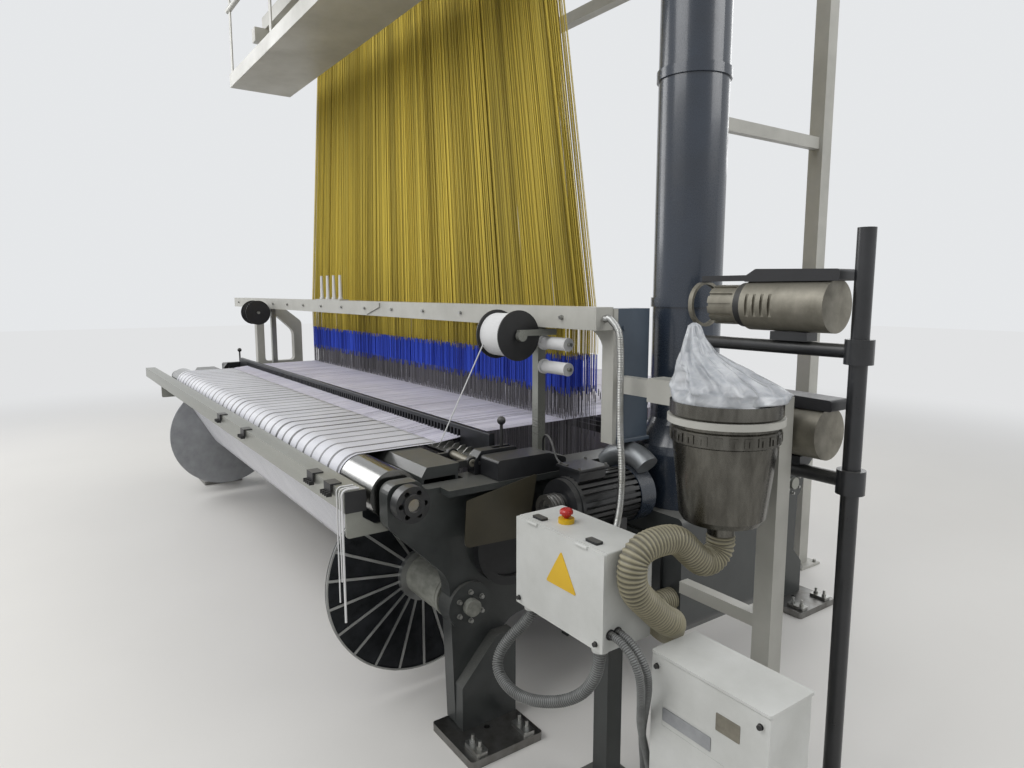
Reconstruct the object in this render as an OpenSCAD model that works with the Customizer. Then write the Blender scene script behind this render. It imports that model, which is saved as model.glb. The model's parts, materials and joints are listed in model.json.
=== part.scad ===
// Wide rapier power loom with a jacquard harness and its gantry.
// +X runs along the cloth's width to the drive end, +Y to the warp beam, +Z up.
// The origin is on the floor, midway between the four floor anchors.

/* [Loom] */
// Width of the cloth between its edges
cloth_w = 3250; // [3000:10:3260]
// Height of the cloth's underside above the floor
cloth_z = 967; // [955:1:980]
// Thickness drawn for the cloth
cloth_t = 2; // [1:0.5:3]
// Line where the cloth begins, measured forward from the origin
fell_y = 864; // [855:1:870]

/* [Side frames] */
// Distance from the middle of the loom to the middle of a side frame
side_x = 1950; // [1945:1:1960]
// Thickness of a side frame's casting
side_t = 60; // [50:2:70]
// Height of a side frame's top edge
frame_top = 905; // [895:1:912]
// Width of a leg
leg_w = 170; // [150:5:190]
// Height of the arch between the legs
arch_z = 380; // [340:5:400]
// Width of the flange along a side frame's top edge
flange_w = 60; // [50:2:64]
// Thickness of that flange
flange_t = 22; // [16:1:30]

/* [Floor anchors] */
// Distance of an anchor from the middle, along the loom
anchor_x = 2050; // [2045:1:2065]
// Distance of an anchor from the middle, front to back
anchor_y = 920; // [900:5:930]
// Diameter of an anchor hole
anchor_d = 22; // [14:1:30]
// Thickness of a foot plate
foot_t = 30; // [20:1:36]
// Length of a foot plate across the loom's ends
foot_w = 270; // [260:5:290]
// Width of a foot plate front to back
foot_d = 290; // [270:5:310]

/* [Cloth roll] */
// Height of the cloth roll's axis
roll_z = 465; // [460:1:470]
// Distance of its axis in front of the origin
roll_y = 950; // [945:1:955]
// Radius of an end disc
disc_r = 388; // [360:4:388]
// Thickness of a disc's sheet
disc_t = 5; // [3:1:8]
// Height of the disc's pressed ribs
disc_rib = 12; // [8:1:18]
// Number of pressed ribs on a disc
disc_ribs = 22; // [12:1:30]
// Radius of the covered core
core_r = 80; // [70:1:90]
// Depth of cloth wound on the core
wound_t = 6; // [4:1:12]

/* [Breast roller and rail] */
// Radius of the polished breast roller
breast_r = 85; // [75:1:88]
// Distance of its axis in front of the origin
breast_y = 1185; // [1180:1:1190]
// Outer width of the square front rail
rail_w = 72; // [60:2:80]
// Wall of the front rail
rail_wall = 4; // [3:0.5:6]
// Free space between the roller and the rail
rail_gap = 8; // [5:1:15]
// Reach of the rail to the left
rail_left = 2590; // [2300:10:2700]
// Reach of the rail to the right
rail_right = 1880; // [1860:5:1890]

/* [Sley and reed] */
// Distance of the rocker shaft in front of the origin
rocker_y = 500; // [496:1:506]
// Height of the rocker shaft
rocker_z = 425; // [420:1:430]
// Radius of the rocker shaft
rocker_r = 45; // [35:1:50]
// Half length of the sley
sley_half = 1845; // [1800:5:1848]
// Distance of the reed in front of the origin
reed_y = 753; // [750:1:757]
// Height of the reed's top edge
reed_top = 1027; // [1015:1:1040]
// Depth of the reed front to back
reed_d = 24; // [18:1:30]
// Number of gaps in the reed
reed_gaps = 118; // [60:2:118]
// Number of swords that carry the sley
swords = 5; // [3:2:7]
// Pitch of the guide teeth
tooth_pitch = 46; // [40:1:60]

/* [Harness] */
// Columns of harness cords across the loom
cord_cols = 64; // [40:2:72]
// Rows of harness cords front to back
cord_rows = 3; // [2:1:4]
// Thickness drawn for a bundle of cords
cord_t = 9; // [6:0.5:10]
// Width of the harness at the comber board
harness_w = 3280; // [3270:5:3290]
// Width of the harness under the jacquard head
harness_top_w = 2490; // [2200:10:2700]
// Distance of the front row of cords in front of the origin
harness_front = 220; // [210:1:230]
// Distance of the back row in front of the origin
harness_back = 60; // [50:1:80]
// Height of the comber board
comber_z = 1440; // [1430:1:1450]
// Height where the yellow cords end and the blue ones start
blue_top = 1265; // [1240:5:1290]
// Height where the blue cords end and the wire heddles start
blue_bottom = 1114; // [1090:5:1140]
// Height of the spring frame's top near the floor
spring_z = 190; // [150:5:220]

/* [Crossbeam] */
// Side of the square harness crossbeam
beam_w = 80; // [70:2:80]
// Height of its underside
beam_z = 1418; // [1410:1:1424]
// Distance of its middle in front of the origin
beam_y = 500; // [498:1:502]
// Reach of the crossbeam to the left
beam_left = 2860; // [2500:10:3000]
// Reach of the crossbeam to the right
beam_right = 2160; // [2155:1:2162]

/* [Warp] */
// Radius of the back-rest roller
rest_r = 70; // [60:1:80]
// Distance of its axis behind the origin
rest_y = 1180; // [1175:1:1190]
// Distance of the warp beam's axis behind the origin
warp_beam_y = 950; // [945:1:955]
// Height of the warp beam's axis
warp_beam_z = 600; // [590:1:610]
// Radius of the warp beam's flanges
warp_flange_r = 325; // [315:1:326]

/* [Jacquard head and gantry] */
// Height of the jacquard head's underside
head_z = 3650; // [3500:10:3800]
// Length of the jacquard head
head_w = 2700; // [2660:10:3000]
// Depth of the jacquard head
head_d = 720; // [640:10:800]
// Height of the jacquard head's case
head_h = 650; // [500:10:800]
// Side of a gantry leg
leg_tube = 80; // [60:5:100]
// Distance of a gantry leg from the middle
gantry_x = 1760; // [1740:5:1780]
// Height of the walkway above the floor
walk_z = 3000; // [2900:10:3100]

/* [Drive] */
// Place of the upright jacquard drive shaft along the loom
guard_x = 2192; // [2190:1:2194]
// Its distance in front of the origin
guard_y = 112; // [111:1:114]
// Outer radius of the shaft's guard tube
guard_r = 125; // [120:1:126]
// Radius of the bell at the foot of the guard
bell_r = 180; // [170:1:190]
// Wall of the guard
guard_wall = 4; // [3:0.5:6]
// Height of the gear case's top
case_top = 760; // [750:1:765]
// Height of the motor's axis
motor_z = 819; // [815:1:825]
// Radius of the motor's fins
motor_r = 100; // [90:1:100]

/* [Control box] */
// Width of the control box
box_w = 390; // [360:5:400]
// Height of the control box
box_h = 275; // [250:5:290]
// Depth of the control box behind its door
box_d = 165; // [140:5:175]
// Height of the control box's top
box_top = 880; // [870:1:890]
// Travel of the emergency stop button
stop_travel = 5; // [3:0.5:5]

/* [Bucket and feeders] */
// Radius of the bucket's rim
bucket_r = 150; // [145:1:155]
// Radius at the foot of the bucket
bucket_foot_r = 117; // [105:1:125]
// Height of the bucket's body
bucket_h = 333; // [320:1:340]
// Wall of the bucket
bucket_wall = 3; // [2:0.5:5]
// Radius of a weft feeder's drum
drum_r = 62; // [50:1:70]
// Length of a weft feeder's case
feeder_l = 270; // [250:5:290]

/* [Floor cabinet] */
// Width of the floor cabinet
cabinet_w = 360; // [340:5:380]
// Depth of the floor cabinet
cabinet_d = 170; // [150:5:190]
// Height of the floor cabinet
cabinet_h = 600; // [560:5:640]

/* [Hidden] */
// Free space between pieces that move past or lie along each other
gap = 0.3;
// Radial clearance of a shaft in its bearing
fit = 0.05;
// Bolt head across its corners, and its height
bolt_d = 22;
bolt_h = 12;

side_in = side_x - side_t / 2;
side_out = side_x + side_t / 2;
case_x = side_out + 5;
breast_z = cloth_z - gap - breast_r;
rail_y = -breast_y - breast_r - rail_gap - rail_w;
rail_top = breast_z + 32;
roll_shaft = 30;
small_shaft = 22;
wound_r = core_r + wound_t;
disc_in = cloth_w / 2 + 3;
core_end = side_in - 20;
warp_z = cloth_z + 33;
rest_z = warp_z - gap - rest_r;
warp_wound_r = rest_y + rest_r - warp_beam_y;
warp_t = 3;
warp_front = -690;
cord_pitch = harness_w / cord_cols;
ribbon_w = cord_pitch - cord_t - 6;
beam_back = -beam_y + beam_w / 2;
beam_top = beam_z + beam_w;
comber_t = 15;
post_w = 37;
post_x = 1790;
spool_z = 1388;
spool_y = -640;
spool_r = 95;
spool_x = 1700;
spool_l = 150;
spool_bore = 10;
box_x = 2300;
box_y = -970;
door_t = 12;
door_in = 0.3;
stop_x = 2440;
stop_y = -890;
stop_r = 20;
bucket_x = 2763;
bucket_y = -599;
bucket_z = 926;
stand_x = 2800;
stand_y = -415;
stand_w = 60;
feeder_x = 2620;
feeder_y = -300;
feeder_zs = [1511, 1150];
feeder_pipe_x = 2960;
cabinet_x = 2745;
cabinet_y = -840;
motor_x = 2165;
motor_front = -700;
motor_back = -400;
casting_x = 2100;
gantry_front = 420;
gantry_back = 1400;
head_y = -140;
beam_up = head_z - 100;
gear_z = head_z + 50;

// Length of the bucket's neck, and the place of the control box's two glands
neck_h = 44;
gland_y = -930;
// Points that the hoses and conduits pass through, from one fitting to the other
hose_d = 80;
hose_points = [
    [2763, -599, bucket_z - neck_h - gap], [2763, -599, 866], [2763, -599, 850], [2762, -607, 832],
    [2761, -621, 819], [2760, -640, 812], [2758, -662, 813], [2757, -684, 824], [2755, -716, 852],
    [2752, -746, 880], [2750, -769, 895], [2747, -795, 901], [2745, -825, 902], [2743, -856, 900],
    [2740, -886, 891], [2738, -906, 873], [2738, -915, 847], [2738, -916, 818], [2738, -907, 789],
    [2737, -888, 764], [2735, -850, 727], [2734, -808, 688], [2732, -774, 662], [2714, -736, 640],
    [2678, -690, 606], [2630, -640, 556], [2570, -585, 508], [2500, -530, 468], [2430, -484, 446],
    [2376, -446, 444], [2350, -408, 454], [2344, -376, 460], [2344, -348, 460], [2344, -320 - gap, 460]
];
box_conduit_d = 35;
box_conduit_points = [
    [2328, gland_y, 605 - gap], [2328, gland_y, 588], [2328, gland_y, 572], [2321, -941, 548],
    [2306, -960, 520], [2288, -988, 484], [2276, -1014, 442], [2284, -1030, 406], [2324, -1036, 378],
    [2390, -1032, 366], [2464, -1012, 374], [2540, -981, 402], [2594, -954, 444], [2624, -938, 496],
    [2635, -932, 540], [2638, gland_y, 570], [2638, gland_y, 588], [2638, gland_y, 605 - gap]
];
spiral_d = 26;
spiral_points = [
    [beam_right + 5 + 2 * gap, -500, 1458], [2178, -500, 1458], [2192, -500, 1458],
    [2240, -504, 1418], [2256, -508, 1330],
    [2262, -513, 1200], [2272, -518, 1070], [2292, -526, 950], [2318, -556, 850], [2356, -610, 782],
    [2406, -684, 752],
    [2440, -750, 746], [2440, -772, 746], [2440, -793 + gap, 746]
];

// Helpers
function unit(v) = v / norm(v);

function turn(a) = a > 180 ? a - 360 : a < -180 ? a + 360 : a;

function arc(c, r, a, b, n = 6) =
    [for (i = [0:n]) c + r * [cos(a + (b - a) * i / n), sin(a + (b - a) * i / n)]];

function corner(a, b, c) =
    b[2] == 0 ? [[b.x, b.y]] :
    let (
        p = [b.x, b.y],
        u = unit([a.x, a.y] - p),
        v = unit([c.x, c.y] - p),
        half = acos(max(-1, min(1, u * v))) / 2,
        reach = b[2] / tan(half),
        mid = p + unit(u + v) * b[2] / sin(half),
        from = p + u * reach - mid,
        to = p + v * reach - mid,
        a0 = atan2(from.y, from.x),
        sweep = turn(atan2(to.y, to.x) - a0)
    )
    arc(mid, b[2], a0, a0 + sweep);

function rounded(p) =
    let (n = len(p))
    [for (i = [0:n - 1]) each corner(p[(i + n - 1) % n], p[i], p[(i + 1) % n])];

function rounded_box(x0, y0, x1, y1, r) =
    rounded([[x0, y0, r], [x1, y0, r], [x1, y1, r], [x0, y1, r]]);

module box(a, b) { translate(a) cube(b - a); }

module rod_x(x0, x1, y, z, r, fn = 48) {
    translate([x0, y, z]) rotate([0, 90, 0]) cylinder(r = r, h = x1 - x0, $fn = fn);
}

module rod_y(y0, y1, x, z, r, fn = 48) {
    translate([x, y1, z]) rotate([90, 0, 0]) cylinder(r = r, h = y1 - y0, $fn = fn);
}

module rod_z(z0, z1, x, y, r, fn = 48) {
    translate([x, y, z0]) cylinder(r = r, h = z1 - z0, $fn = fn);
}

// An outline drawn in Y and Z, and drawn along X
module across(x0, x1, points) {
    translate([x0, 0, 0]) rotate([90, 0, 90]) linear_extrude(x1 - x0) polygon(points);
}

// An outline drawn in X and Z, and drawn along Y
module along(y0, y1, points) {
    translate([0, y1, 0]) rotate([90, 0, 0]) linear_extrude(y1 - y0) polygon(points);
}

// An outline drawn in X and Y, and drawn upwards
module upward(z0, z1, points) {
    translate([0, 0, z0]) linear_extrude(z1 - z0) polygon(points);
}

module both_ends() {
    children();
    mirror([1, 0, 0]) children();
}

// A smooth line through the given points
function between(p, i, t) =
    let (
        a = p[max(0, i - 1)],
        b = p[i],
        c = p[i + 1],
        d = p[min(len(p) - 1, i + 2)]
    )
    0.5 * (2 * b + (c - a) * t + (2 * a - 5 * b + 4 * c - d) * t * t + (3 * b - a - 3 * c + d) * t * t * t);

function smooth(p, n = 3) = concat(
    [for (i = [0:len(p) - 2], k = [0:n - 1]) between(p, i, k / n)],
    [p[len(p) - 1]]
);

function heading(p, i) =
    i == 0 ? p[1] - p[0] :
    i == len(p) - 1 ? p[i] - p[i - 1] :
    unit(p[i] - p[i - 1]) + unit(p[i + 1] - p[i]);

// Side vectors carried along the line, so that a tube round it doesn't twist
function carried(p, i) =
    let (d = unit(heading(p, i)))
    i == 0 ? unit(cross(d, abs(d.x) > 0.8 ? [0, 1, 0] : [1, 0, 0])) :
    let (s = carried(p, i - 1))
    unit(s - (s * d) * d);

module swept(p, r, n = 8) {
    m = len(p);
    points = [
        for (i = [0:m - 1])
        let (d = unit(heading(p, i)), s = carried(p, i), t = cross(d, s))
        for (k = [0:n - 1]) p[i] + r * (cos(360 * k / n) * s + sin(360 * k / n) * t)
    ];
    sides = [
        for (i = [0:m - 2]) for (k = [0:n - 1])
        let (a = i * n + k, b = i * n + (k + 1) % n)
        each [[a, b + n, b], [a, a + n, b + n]]
    ];
    polyhedron(points, concat(
        sides,
        [[for (k = [0:n - 1]) k]],
        [[for (k = [n - 1:-1:0]) (m - 1) * n + k]]
    ));
}

// Side frames
module side_outline() {
    leg_in = anchor_y - leg_w / 2;
    leg_out = anchor_y + leg_w / 2;
    polygon(rounded([
        [-leg_out, foot_t, 10], [-leg_in, foot_t, 10],
        [-leg_in, arch_z, 120], [leg_in, arch_z, 120],
        [leg_in, foot_t, 10], [leg_out, foot_t, 10],
        [leg_out + 20, warp_beam_z, 60], [rest_y + 90, rest_z - 120, 40],
        [rest_y + 90, rest_z + 60, 40], [rest_y - 110, rest_z + 60, 30],
        [rest_y - 150, frame_top, 20],
        [-breast_y + 70, frame_top, 30], [-breast_y + 55, breast_z + 58, 24],
        [-breast_y - 62, breast_z + 58, 40], [-breast_y - 62, breast_z - 80, 40],
        [-leg_out - 20, arch_z + 200, 120]
    ]));
}

module side_frame() {
    win_top = frame_top - 75;
    win_bottom = arch_z + 90;
    difference() {
        union() {
            translate([side_in, 0, 0]) rotate([90, 0, 90]) linear_extrude(side_t)
                difference() {
                    side_outline();
                    polygon(rounded_box(-480, win_bottom, -60, win_top, 60));
                    polygon(rounded_box(60, win_bottom, 480, win_top, 60));
                }
            box([side_in - flange_w, -roll_y + 20, frame_top - flange_t],
                [side_out, rest_y - 200, frame_top]);
            box([side_out - 1, -breast_y + 130, frame_top - flange_t],
                [side_out + flange_w, -beam_y + 80, frame_top]);
            // Round bosses at the bearings
            for (b = [[-breast_y, breast_z, 48], [-roll_y, roll_z, 85], [-rocker_y, rocker_z, 80],
                      [warp_beam_y, warp_beam_z, 90], [rest_y, rest_z, 50]])
                rod_x(side_in, side_out + 15, b.x, b.y, b.z);
            // Foot block outside each leg
            for (s = [-1, 1])
                across(side_out - 1, side_out + 48, rounded([
                    [s * (anchor_y + 85), foot_t, 4], [s * (anchor_y + 85), 190, 12],
                    [s * (anchor_y - 60), 345, 20], [s * (anchor_y - 140), 345, 12],
                    [s * (anchor_y - 140), foot_t, 4]
                ]));
        }
        for (b = [[-breast_y, breast_z, small_shaft], [-roll_y, roll_z, roll_shaft],
                  [-rocker_y, rocker_z, roll_shaft], [warp_beam_y, warp_beam_z, roll_shaft],
                  [rest_y, rest_z, small_shaft]])
            rod_x(side_in - 1, side_out + 16, b.x, b.y, b.z + fit);
    }
}

module side_frame_right() { color("dimgray") side_frame(); }

module side_frame_left() { color("dimgray") mirror([1, 0, 0]) side_frame(); }

module cross_members() color("slategray") {
    tie_x = side_in - gap;
    for (y = [-330, 320]) {
        rod_x(-tie_x, tie_x, y, arch_z + 45, 38);
        both_ends() rod_x(tie_x - 14, tie_x, y, arch_z + 45, 52);
    }
    // Breast beam with the cloth table on top
    difference() {
        across(-tie_x, tie_x, rounded([
            [-roll_y - 143, roll_z + disc_r + 12, 8], [-roll_y, roll_z + disc_r + 12, 8],
            [-roll_y, cloth_z - 38, 6], [-roll_y + 6, cloth_z - 6, 2],
            [-roll_y - 122, cloth_z - 6, 4], [-roll_y - 143, cloth_z - 38, 6]
        ]));
        across(-tie_x - 1, tie_x + 1, rounded_box(
            -roll_y - 134, roll_z + disc_r + 20, -roll_y - 10, cloth_z - 46, 6));
    }
}

// Floor feet
module at_feet() {
    for (x = [-1, 1], y = [-1, 1]) translate([x * anchor_x, y * anchor_y, 0]) children();
}

module foot_plates() color("gray") {
    at_feet() linear_extrude(foot_t - gap) difference() {
        polygon(rounded_box(-foot_w / 2, -foot_d / 2, foot_w / 2, foot_d / 2, 12));
        circle(d = anchor_d, $fn = 48);
    }
}

module foot_clamps() color("silver") {
    strap_t = 14;
    for (x = [-1, 1], y = [-1, 1], v = [-1, 1])
        translate([x * (anchor_x + 84), y * anchor_y + v * 96, foot_t]) {
            linear_extrude(strap_t) polygon(rounded_box(-44, -22, 44, 22, 8));
            for (u = [-22, 22]) translate([u, 0, strap_t])
                cylinder(d = bolt_d, h = bolt_h, $fn = 6);
            for (u = [-22, 22]) translate([u, 0, strap_t + bolt_h])
                cylinder(d = 12, h = 18, $fn = 24);
        }
}

// Front rail
module front_rail() color("lightgray") {
    difference() {
        box([-rail_left, rail_y, rail_top - rail_w], [rail_right, rail_y + rail_w, rail_top]);
        box([-rail_left - 1, rail_y + rail_wall, rail_top - rail_w + rail_wall],
            [rail_right + 1, rail_y + rail_w - rail_wall, rail_top - rail_wall]);
    }
    // Brackets that reach under the roller to the noses of the side frames
    under = rail_top - rail_w;
    both_ends() across(side_in - 62, side_in - 50, rounded([
        [rail_y + 8, under - gap, 3], [rail_y + 8, under - 90, 10], [-breast_y + 60, under - 90, 3],
        [-breast_y + 60, under - 58, 3], [-breast_y - 55, under - 58, 20], [-breast_y - 101, under - 26, 12],
        [-breast_y - 101, under - gap, 3]
    ]));
    both_ends() across(side_in - 51, side_in - gap, rounded([
        [-breast_y - 5, under - 90, 3], [-breast_y - 5, under - 76, 3],
        [-breast_y + 60, under - 76, 3], [-breast_y + 60, under - 90, 3]
    ]));
}

clip_places = [122, 604, 1547, 1720];

module rail_fittings() color("black") {
    // Plugs in the rail's ends
    for (x = [-rail_left - 6 - gap, rail_right + gap])
        box([x, rail_y, rail_top - rail_w], [x + 6, rail_y + rail_w, rail_top]);
    // Yarn clips that hook over the rail
    for (x = clip_places)
        translate([x, rail_y, rail_top]) {
            box([0, -10, gap], [62, 30, 5]);
            box([0, -10, -38], [62, -5, gap]);
            for (i = [0:3]) box([i * 19, -24, -38], [i * 19 + 5, -10, -24]);
        }
}

// Breast roller
module breast_roller() color("gainsboro") {
    rod_x(-1850, core_end, -breast_y, breast_z, breast_r, 96);
    rod_x(-side_out - 30, -1850, -breast_y, breast_z, small_shaft);
    rod_x(core_end, side_out + 62, -breast_y, breast_z, small_shaft);
}

module roller_brake() color("black") {
    bore = small_shaft + fit;
    difference() {
        union() {
            rod_x(side_out + 17, side_out + 60, -breast_y, breast_z, 60, 64);
            rod_x(side_out + 60, side_out + 70, -breast_y, breast_z, 36);
        }
        rod_x(side_out + 16, side_out + 71, -breast_y, breast_z, bore);
        for (k = [0:5])
            translate([0, -breast_y, breast_z]) rotate([60 * k, 0, 0])
                rod_x(side_out + 16, side_out + 61, 42, 0, 9, 24);
    }
}

// Cloth from the fell over the roller to the cloth roll
module cloth() color("white") {
    a = [-breast_y, breast_z];
    b = [-roll_y, roll_z];
    r_in = breast_r + gap;
    w_in = wound_r + gap;
    line = atan2(b.y - a.y, b.x - a.x);
    lean = asin((w_in - r_in) / norm(b - a));
    off = line - 90 + lean;
    across(-cloth_w / 2, cloth_w / 2, concat(
        [[-fell_y, a.y + r_in + cloth_t]],
        arc(a, r_in + cloth_t, 90, off + 360, 20),
        [b + (w_in + cloth_t) * [cos(off), sin(off)]],
        [b + w_in * [cos(off), sin(off)]],
        arc(a, r_in, off + 360, 90, 20),
        [[-fell_y, a.y + r_in]]
    ));
}

// Cloth roll
module roll_core() color("silver") {
    rod_x(-disc_in - 60, core_end - 22, -roll_y, roll_z, core_r, 72);
    rod_x(core_end - 22, core_end - 16, -roll_y, roll_z, core_r - 8, 72);
    rod_x(core_end - 16, core_end, -roll_y, roll_z, core_r + 2, 72);
    rod_x(-side_out - 30, -disc_in - 60, -roll_y, roll_z, roll_shaft);
    rod_x(core_end, side_out + 40, -roll_y, roll_z, roll_shaft);
}

module roll_disc() translate([disc_in, -roll_y, roll_z]) {
    rotate([0, 90, 0]) rotate_extrude($fn = 96) polygon([
        [core_r + fit, 0], [disc_r, 0], [disc_r, disc_rib], [disc_r - 7, disc_rib],
        [disc_r - 7, disc_t], [core_r + 24, disc_t], [core_r + 24, 30], [core_r + fit, 30]
    ]);
    // Stiffening ribs, a little lower than the rim
    for (k = [0:disc_ribs - 1])
        rotate([360 / disc_ribs * k, 0, 0]) translate([disc_t - 1, -5, core_r + 20])
            cube([disc_rib - disc_t, 10, disc_r - core_r - 24]);
}

module roll_disc_right() { color("gray") roll_disc(); }

module roll_disc_left() { color("silver") mirror([1, 0, 0]) roll_disc(); }

module wound_cloth() color("white") difference() {
    rod_x(-cloth_w / 2, cloth_w / 2, -roll_y, roll_z, wound_r, 96);
    rod_x(-cloth_w / 2 - 1, cloth_w / 2 + 1, -roll_y, roll_z, core_r + gap, 96);
}

// Sley: rocker shaft, swords, beam and guide teeth
module sley() color("black") {
    beam_bottom = reed_top - 115;
    beam_front = -reed_y - 80;
    beam_rear = -reed_y + 22;
    shaft_end = side_in - 8;
    rod_x(-shaft_end, shaft_end, -rocker_y, rocker_z, rocker_r);
    both_ends() rod_x(shaft_end, side_out + 10, -rocker_y, rocker_z, roll_shaft);
    for (k = [0:swords - 1]) {
        x = (k / (swords - 1) * 2 - 1) * (sley_half - 60);
        difference() {
            across(x - 20, x + 20, rounded([
                [beam_front + 20, beam_bottom - gap, 4], [-rocker_y - 75, rocker_z - 30, 40],
                [-rocker_y + 10, rocker_z - 75, 40], [-rocker_y + 75, rocker_z + 20, 40],
                [beam_rear - 6, beam_bottom - gap, 4]
            ]));
            rod_x(x - 21, x + 21, -rocker_y, rocker_z, rocker_r + gap);
        }
    }
    // Beam with the reed's seat
    across(-sley_half, sley_half, rounded([
        [beam_front, beam_bottom, 6], [beam_rear, beam_bottom, 6],
        [beam_rear, beam_bottom + 40, 4], [-reed_y + reed_d / 2 + gap, beam_bottom + 40, 1],
        [-reed_y + reed_d / 2 + gap, beam_bottom + 10, 1],
        [-reed_y - reed_d / 2 - gap, beam_bottom + 10, 1],
        [-reed_y - reed_d / 2 - gap, beam_bottom + 26, 2], [beam_front, beam_bottom + 16, 4]
    ]));
    // Slanted guide teeth along the race
    teeth = floor((2 * sley_half - 40) / tooth_pitch);
    for (k = [0:teeth]) {
        x = (k - teeth / 2) * tooth_pitch;
        across(x - 3, x + 3, rounded([
            [beam_front + 6, beam_bottom + 15, 0], [-reed_y - reed_d / 2 - 10, beam_bottom + 22, 0],
            [-reed_y - reed_d / 2 - 8, cloth_z - 8, 3], [-reed_y - reed_d / 2 - 28, cloth_z - 8, 3],
            [beam_front + 20, beam_bottom + 30, 4]
        ]));
    }
}

module reed() color("black") {
    bottom = reed_top - 115 + 10 + gap;
    dent_pitch = (harness_w - 20) / reed_gaps;
    difference() {
        across(-sley_half + 10, sley_half - 10, rounded_box(
            -reed_y - reed_d / 2, bottom, -reed_y + reed_d / 2, reed_top, 4));
        for (k = [0:reed_gaps - 1])
            translate([(k - (reed_gaps - 1) / 2) * dent_pitch, -reed_y, 0])
                box([-dent_pitch * 0.3, -reed_d, bottom + 36], [dent_pitch * 0.3, reed_d, reed_top - 18]);
    }
}

// Static guides and covers at the drive end and their twins on the left
module rapier_guards() color("#262626") {
    shelf = frame_top + gap;
    both_ends() {
        // Entry block with two slots, and the ears of the start lever
        difference() {
            across(side_in - 52, side_in - 2, rounded([
                [-880, shelf, 4], [-700, shelf, 4], [-700, shelf + 84, 10], [-852, shelf + 84, 10],
                [-880, shelf + 50, 10]
            ]));
            for (y = [-864, -828]) box([side_in - 60, y, shelf + 36], [side_in + 2, y + 22, shelf + 50]);
            box([lever_x - 12, lever_y - 40, lever_z - 20], [lever_x + 12, lever_y + 40, shelf + 90]);
        }
        rod_x(side_in - 52, side_in - 2, lever_y, lever_z, 7, 32);
        // Long cover box behind it
        across(side_in + 4, side_out + 56, rounded([
            [-860, shelf, 4], [-560, shelf, 4], [-560, shelf + 46, 12], [-640, shelf + 72, 12],
            [-860, shelf + 72, 12]
        ]));
    }
    // Slanted plate over the drive end's front
    across(side_out + flange_w + gap, side_out + flange_w + 5, rounded([
        [-1000, 700, 20], [-740, 690, 20], [-700, frame_top + 6, 6], [-990, 862, 6]
    ]));
    // Wheel case of the rapier tape, outside each side frame
    both_ends() difference() {
        rod_x(side_out + gap, side_out + 36, -780, 660, 150, 72);
        rod_x(side_out + 24, side_out + 37, -780, 660, 118, 72);
    }
}

// Start levers, which turn on a pin beside each side frame
lever_y = -750;
lever_z = frame_top + 58;
lever_x = side_in - 26;

module start_lever() {
    difference() {
        union() {
            rod_x(lever_x - 11, lever_x + 11, lever_y, lever_z, 15);
            rod_z(lever_z + 10, lever_z + 112, lever_x, lever_y, 6, 24);
            translate([lever_x, lever_y, lever_z + 122]) sphere(r = 16, $fn = 32);
        }
        rod_x(lever_x - 12, lever_x + 12, lever_y, lever_z, 7 + fit);
    }
}

module start_lever_right() { color("black") start_lever(); }

module start_lever_left() { color("black") mirror([1, 0, 0]) start_lever(); }

// Harness crossbeam and what carries it
module crossbeam() color("lightgray") {
    front = -beam_y - beam_w / 2;
    difference() {
        box([-beam_left, front, beam_z], [beam_right, beam_back, beam_top]);
        box([-beam_left - 1, front + 4, beam_z + 4], [beam_right + 1, beam_back - 4, beam_top - 4]);
    }
    for (x = [-beam_left - 5 - gap, beam_right + gap])
        box([x, front, beam_z], [x + 5, beam_back, beam_top]);
    // Shelf for the spare yarn
    box([-650, front, beam_top + gap], [-210, front + 60, beam_top + 6]);
    // Three-cornered stay under the shelf
    along(front - 7, front - gap, rounded([
        [210, beam_z + 4, 3], [390, beam_z + 50, 3], [390, beam_z + 74, 3], [210, beam_z + 20, 3]
    ]));
}

module beam_supports() color("darkseagreen") {
    // Post on the gear case at the drive end, with its arm to the crossbeam
    post_r = cover_x - gap;
    box([post_r - 36, -320, case_top + gap], [post_r, -280, beam_top - 18]);
    box([post_r - 36, beam_back + gap, beam_top - 58], [post_r, -319, beam_top - 18]);
    // Angle at the crossbeam's end, and its gusset
    z0 = cover_z - 16;
    x1 = cover_x + cover_w;
    box([x1 - 58, beam_back + gap, z0], [x1, beam_back + 5, beam_top - 6]);
    box([x1 - 5, beam_back + gap, z0], [x1, cover_y - gap, beam_top - 6]);
    along(beam_back + gap, beam_back + 5, concat(
        [[x1 - 142, beam_z + 30], [x1 - 52, beam_z + 30], [x1 - 52, beam_z - 92]],
        arc([x1 - 142, beam_z - 92], 90, 0, 90, 8)
    ));
    // Arched casting at the other end
    difference() {
        across(-casting_x - 35, -casting_x + 35, rounded([
            [-560, frame_top + gap, 8], [-180, frame_top + gap, 8], [-180, beam_z - 120, 60],
            [-330, beam_z - gap, 20], [-560, beam_z - gap, 8]
        ]));
        across(-casting_x - 36, -casting_x + 36, rounded([
            [-500, frame_top + 60, 30], [-250, frame_top + 60, 30], [-250, beam_z - 200, 90],
            [-390, beam_z - 70, 40], [-500, beam_z - 70, 30]
        ]));
    }
}

peg_places = [-600, -490, -380, -270];

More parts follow.
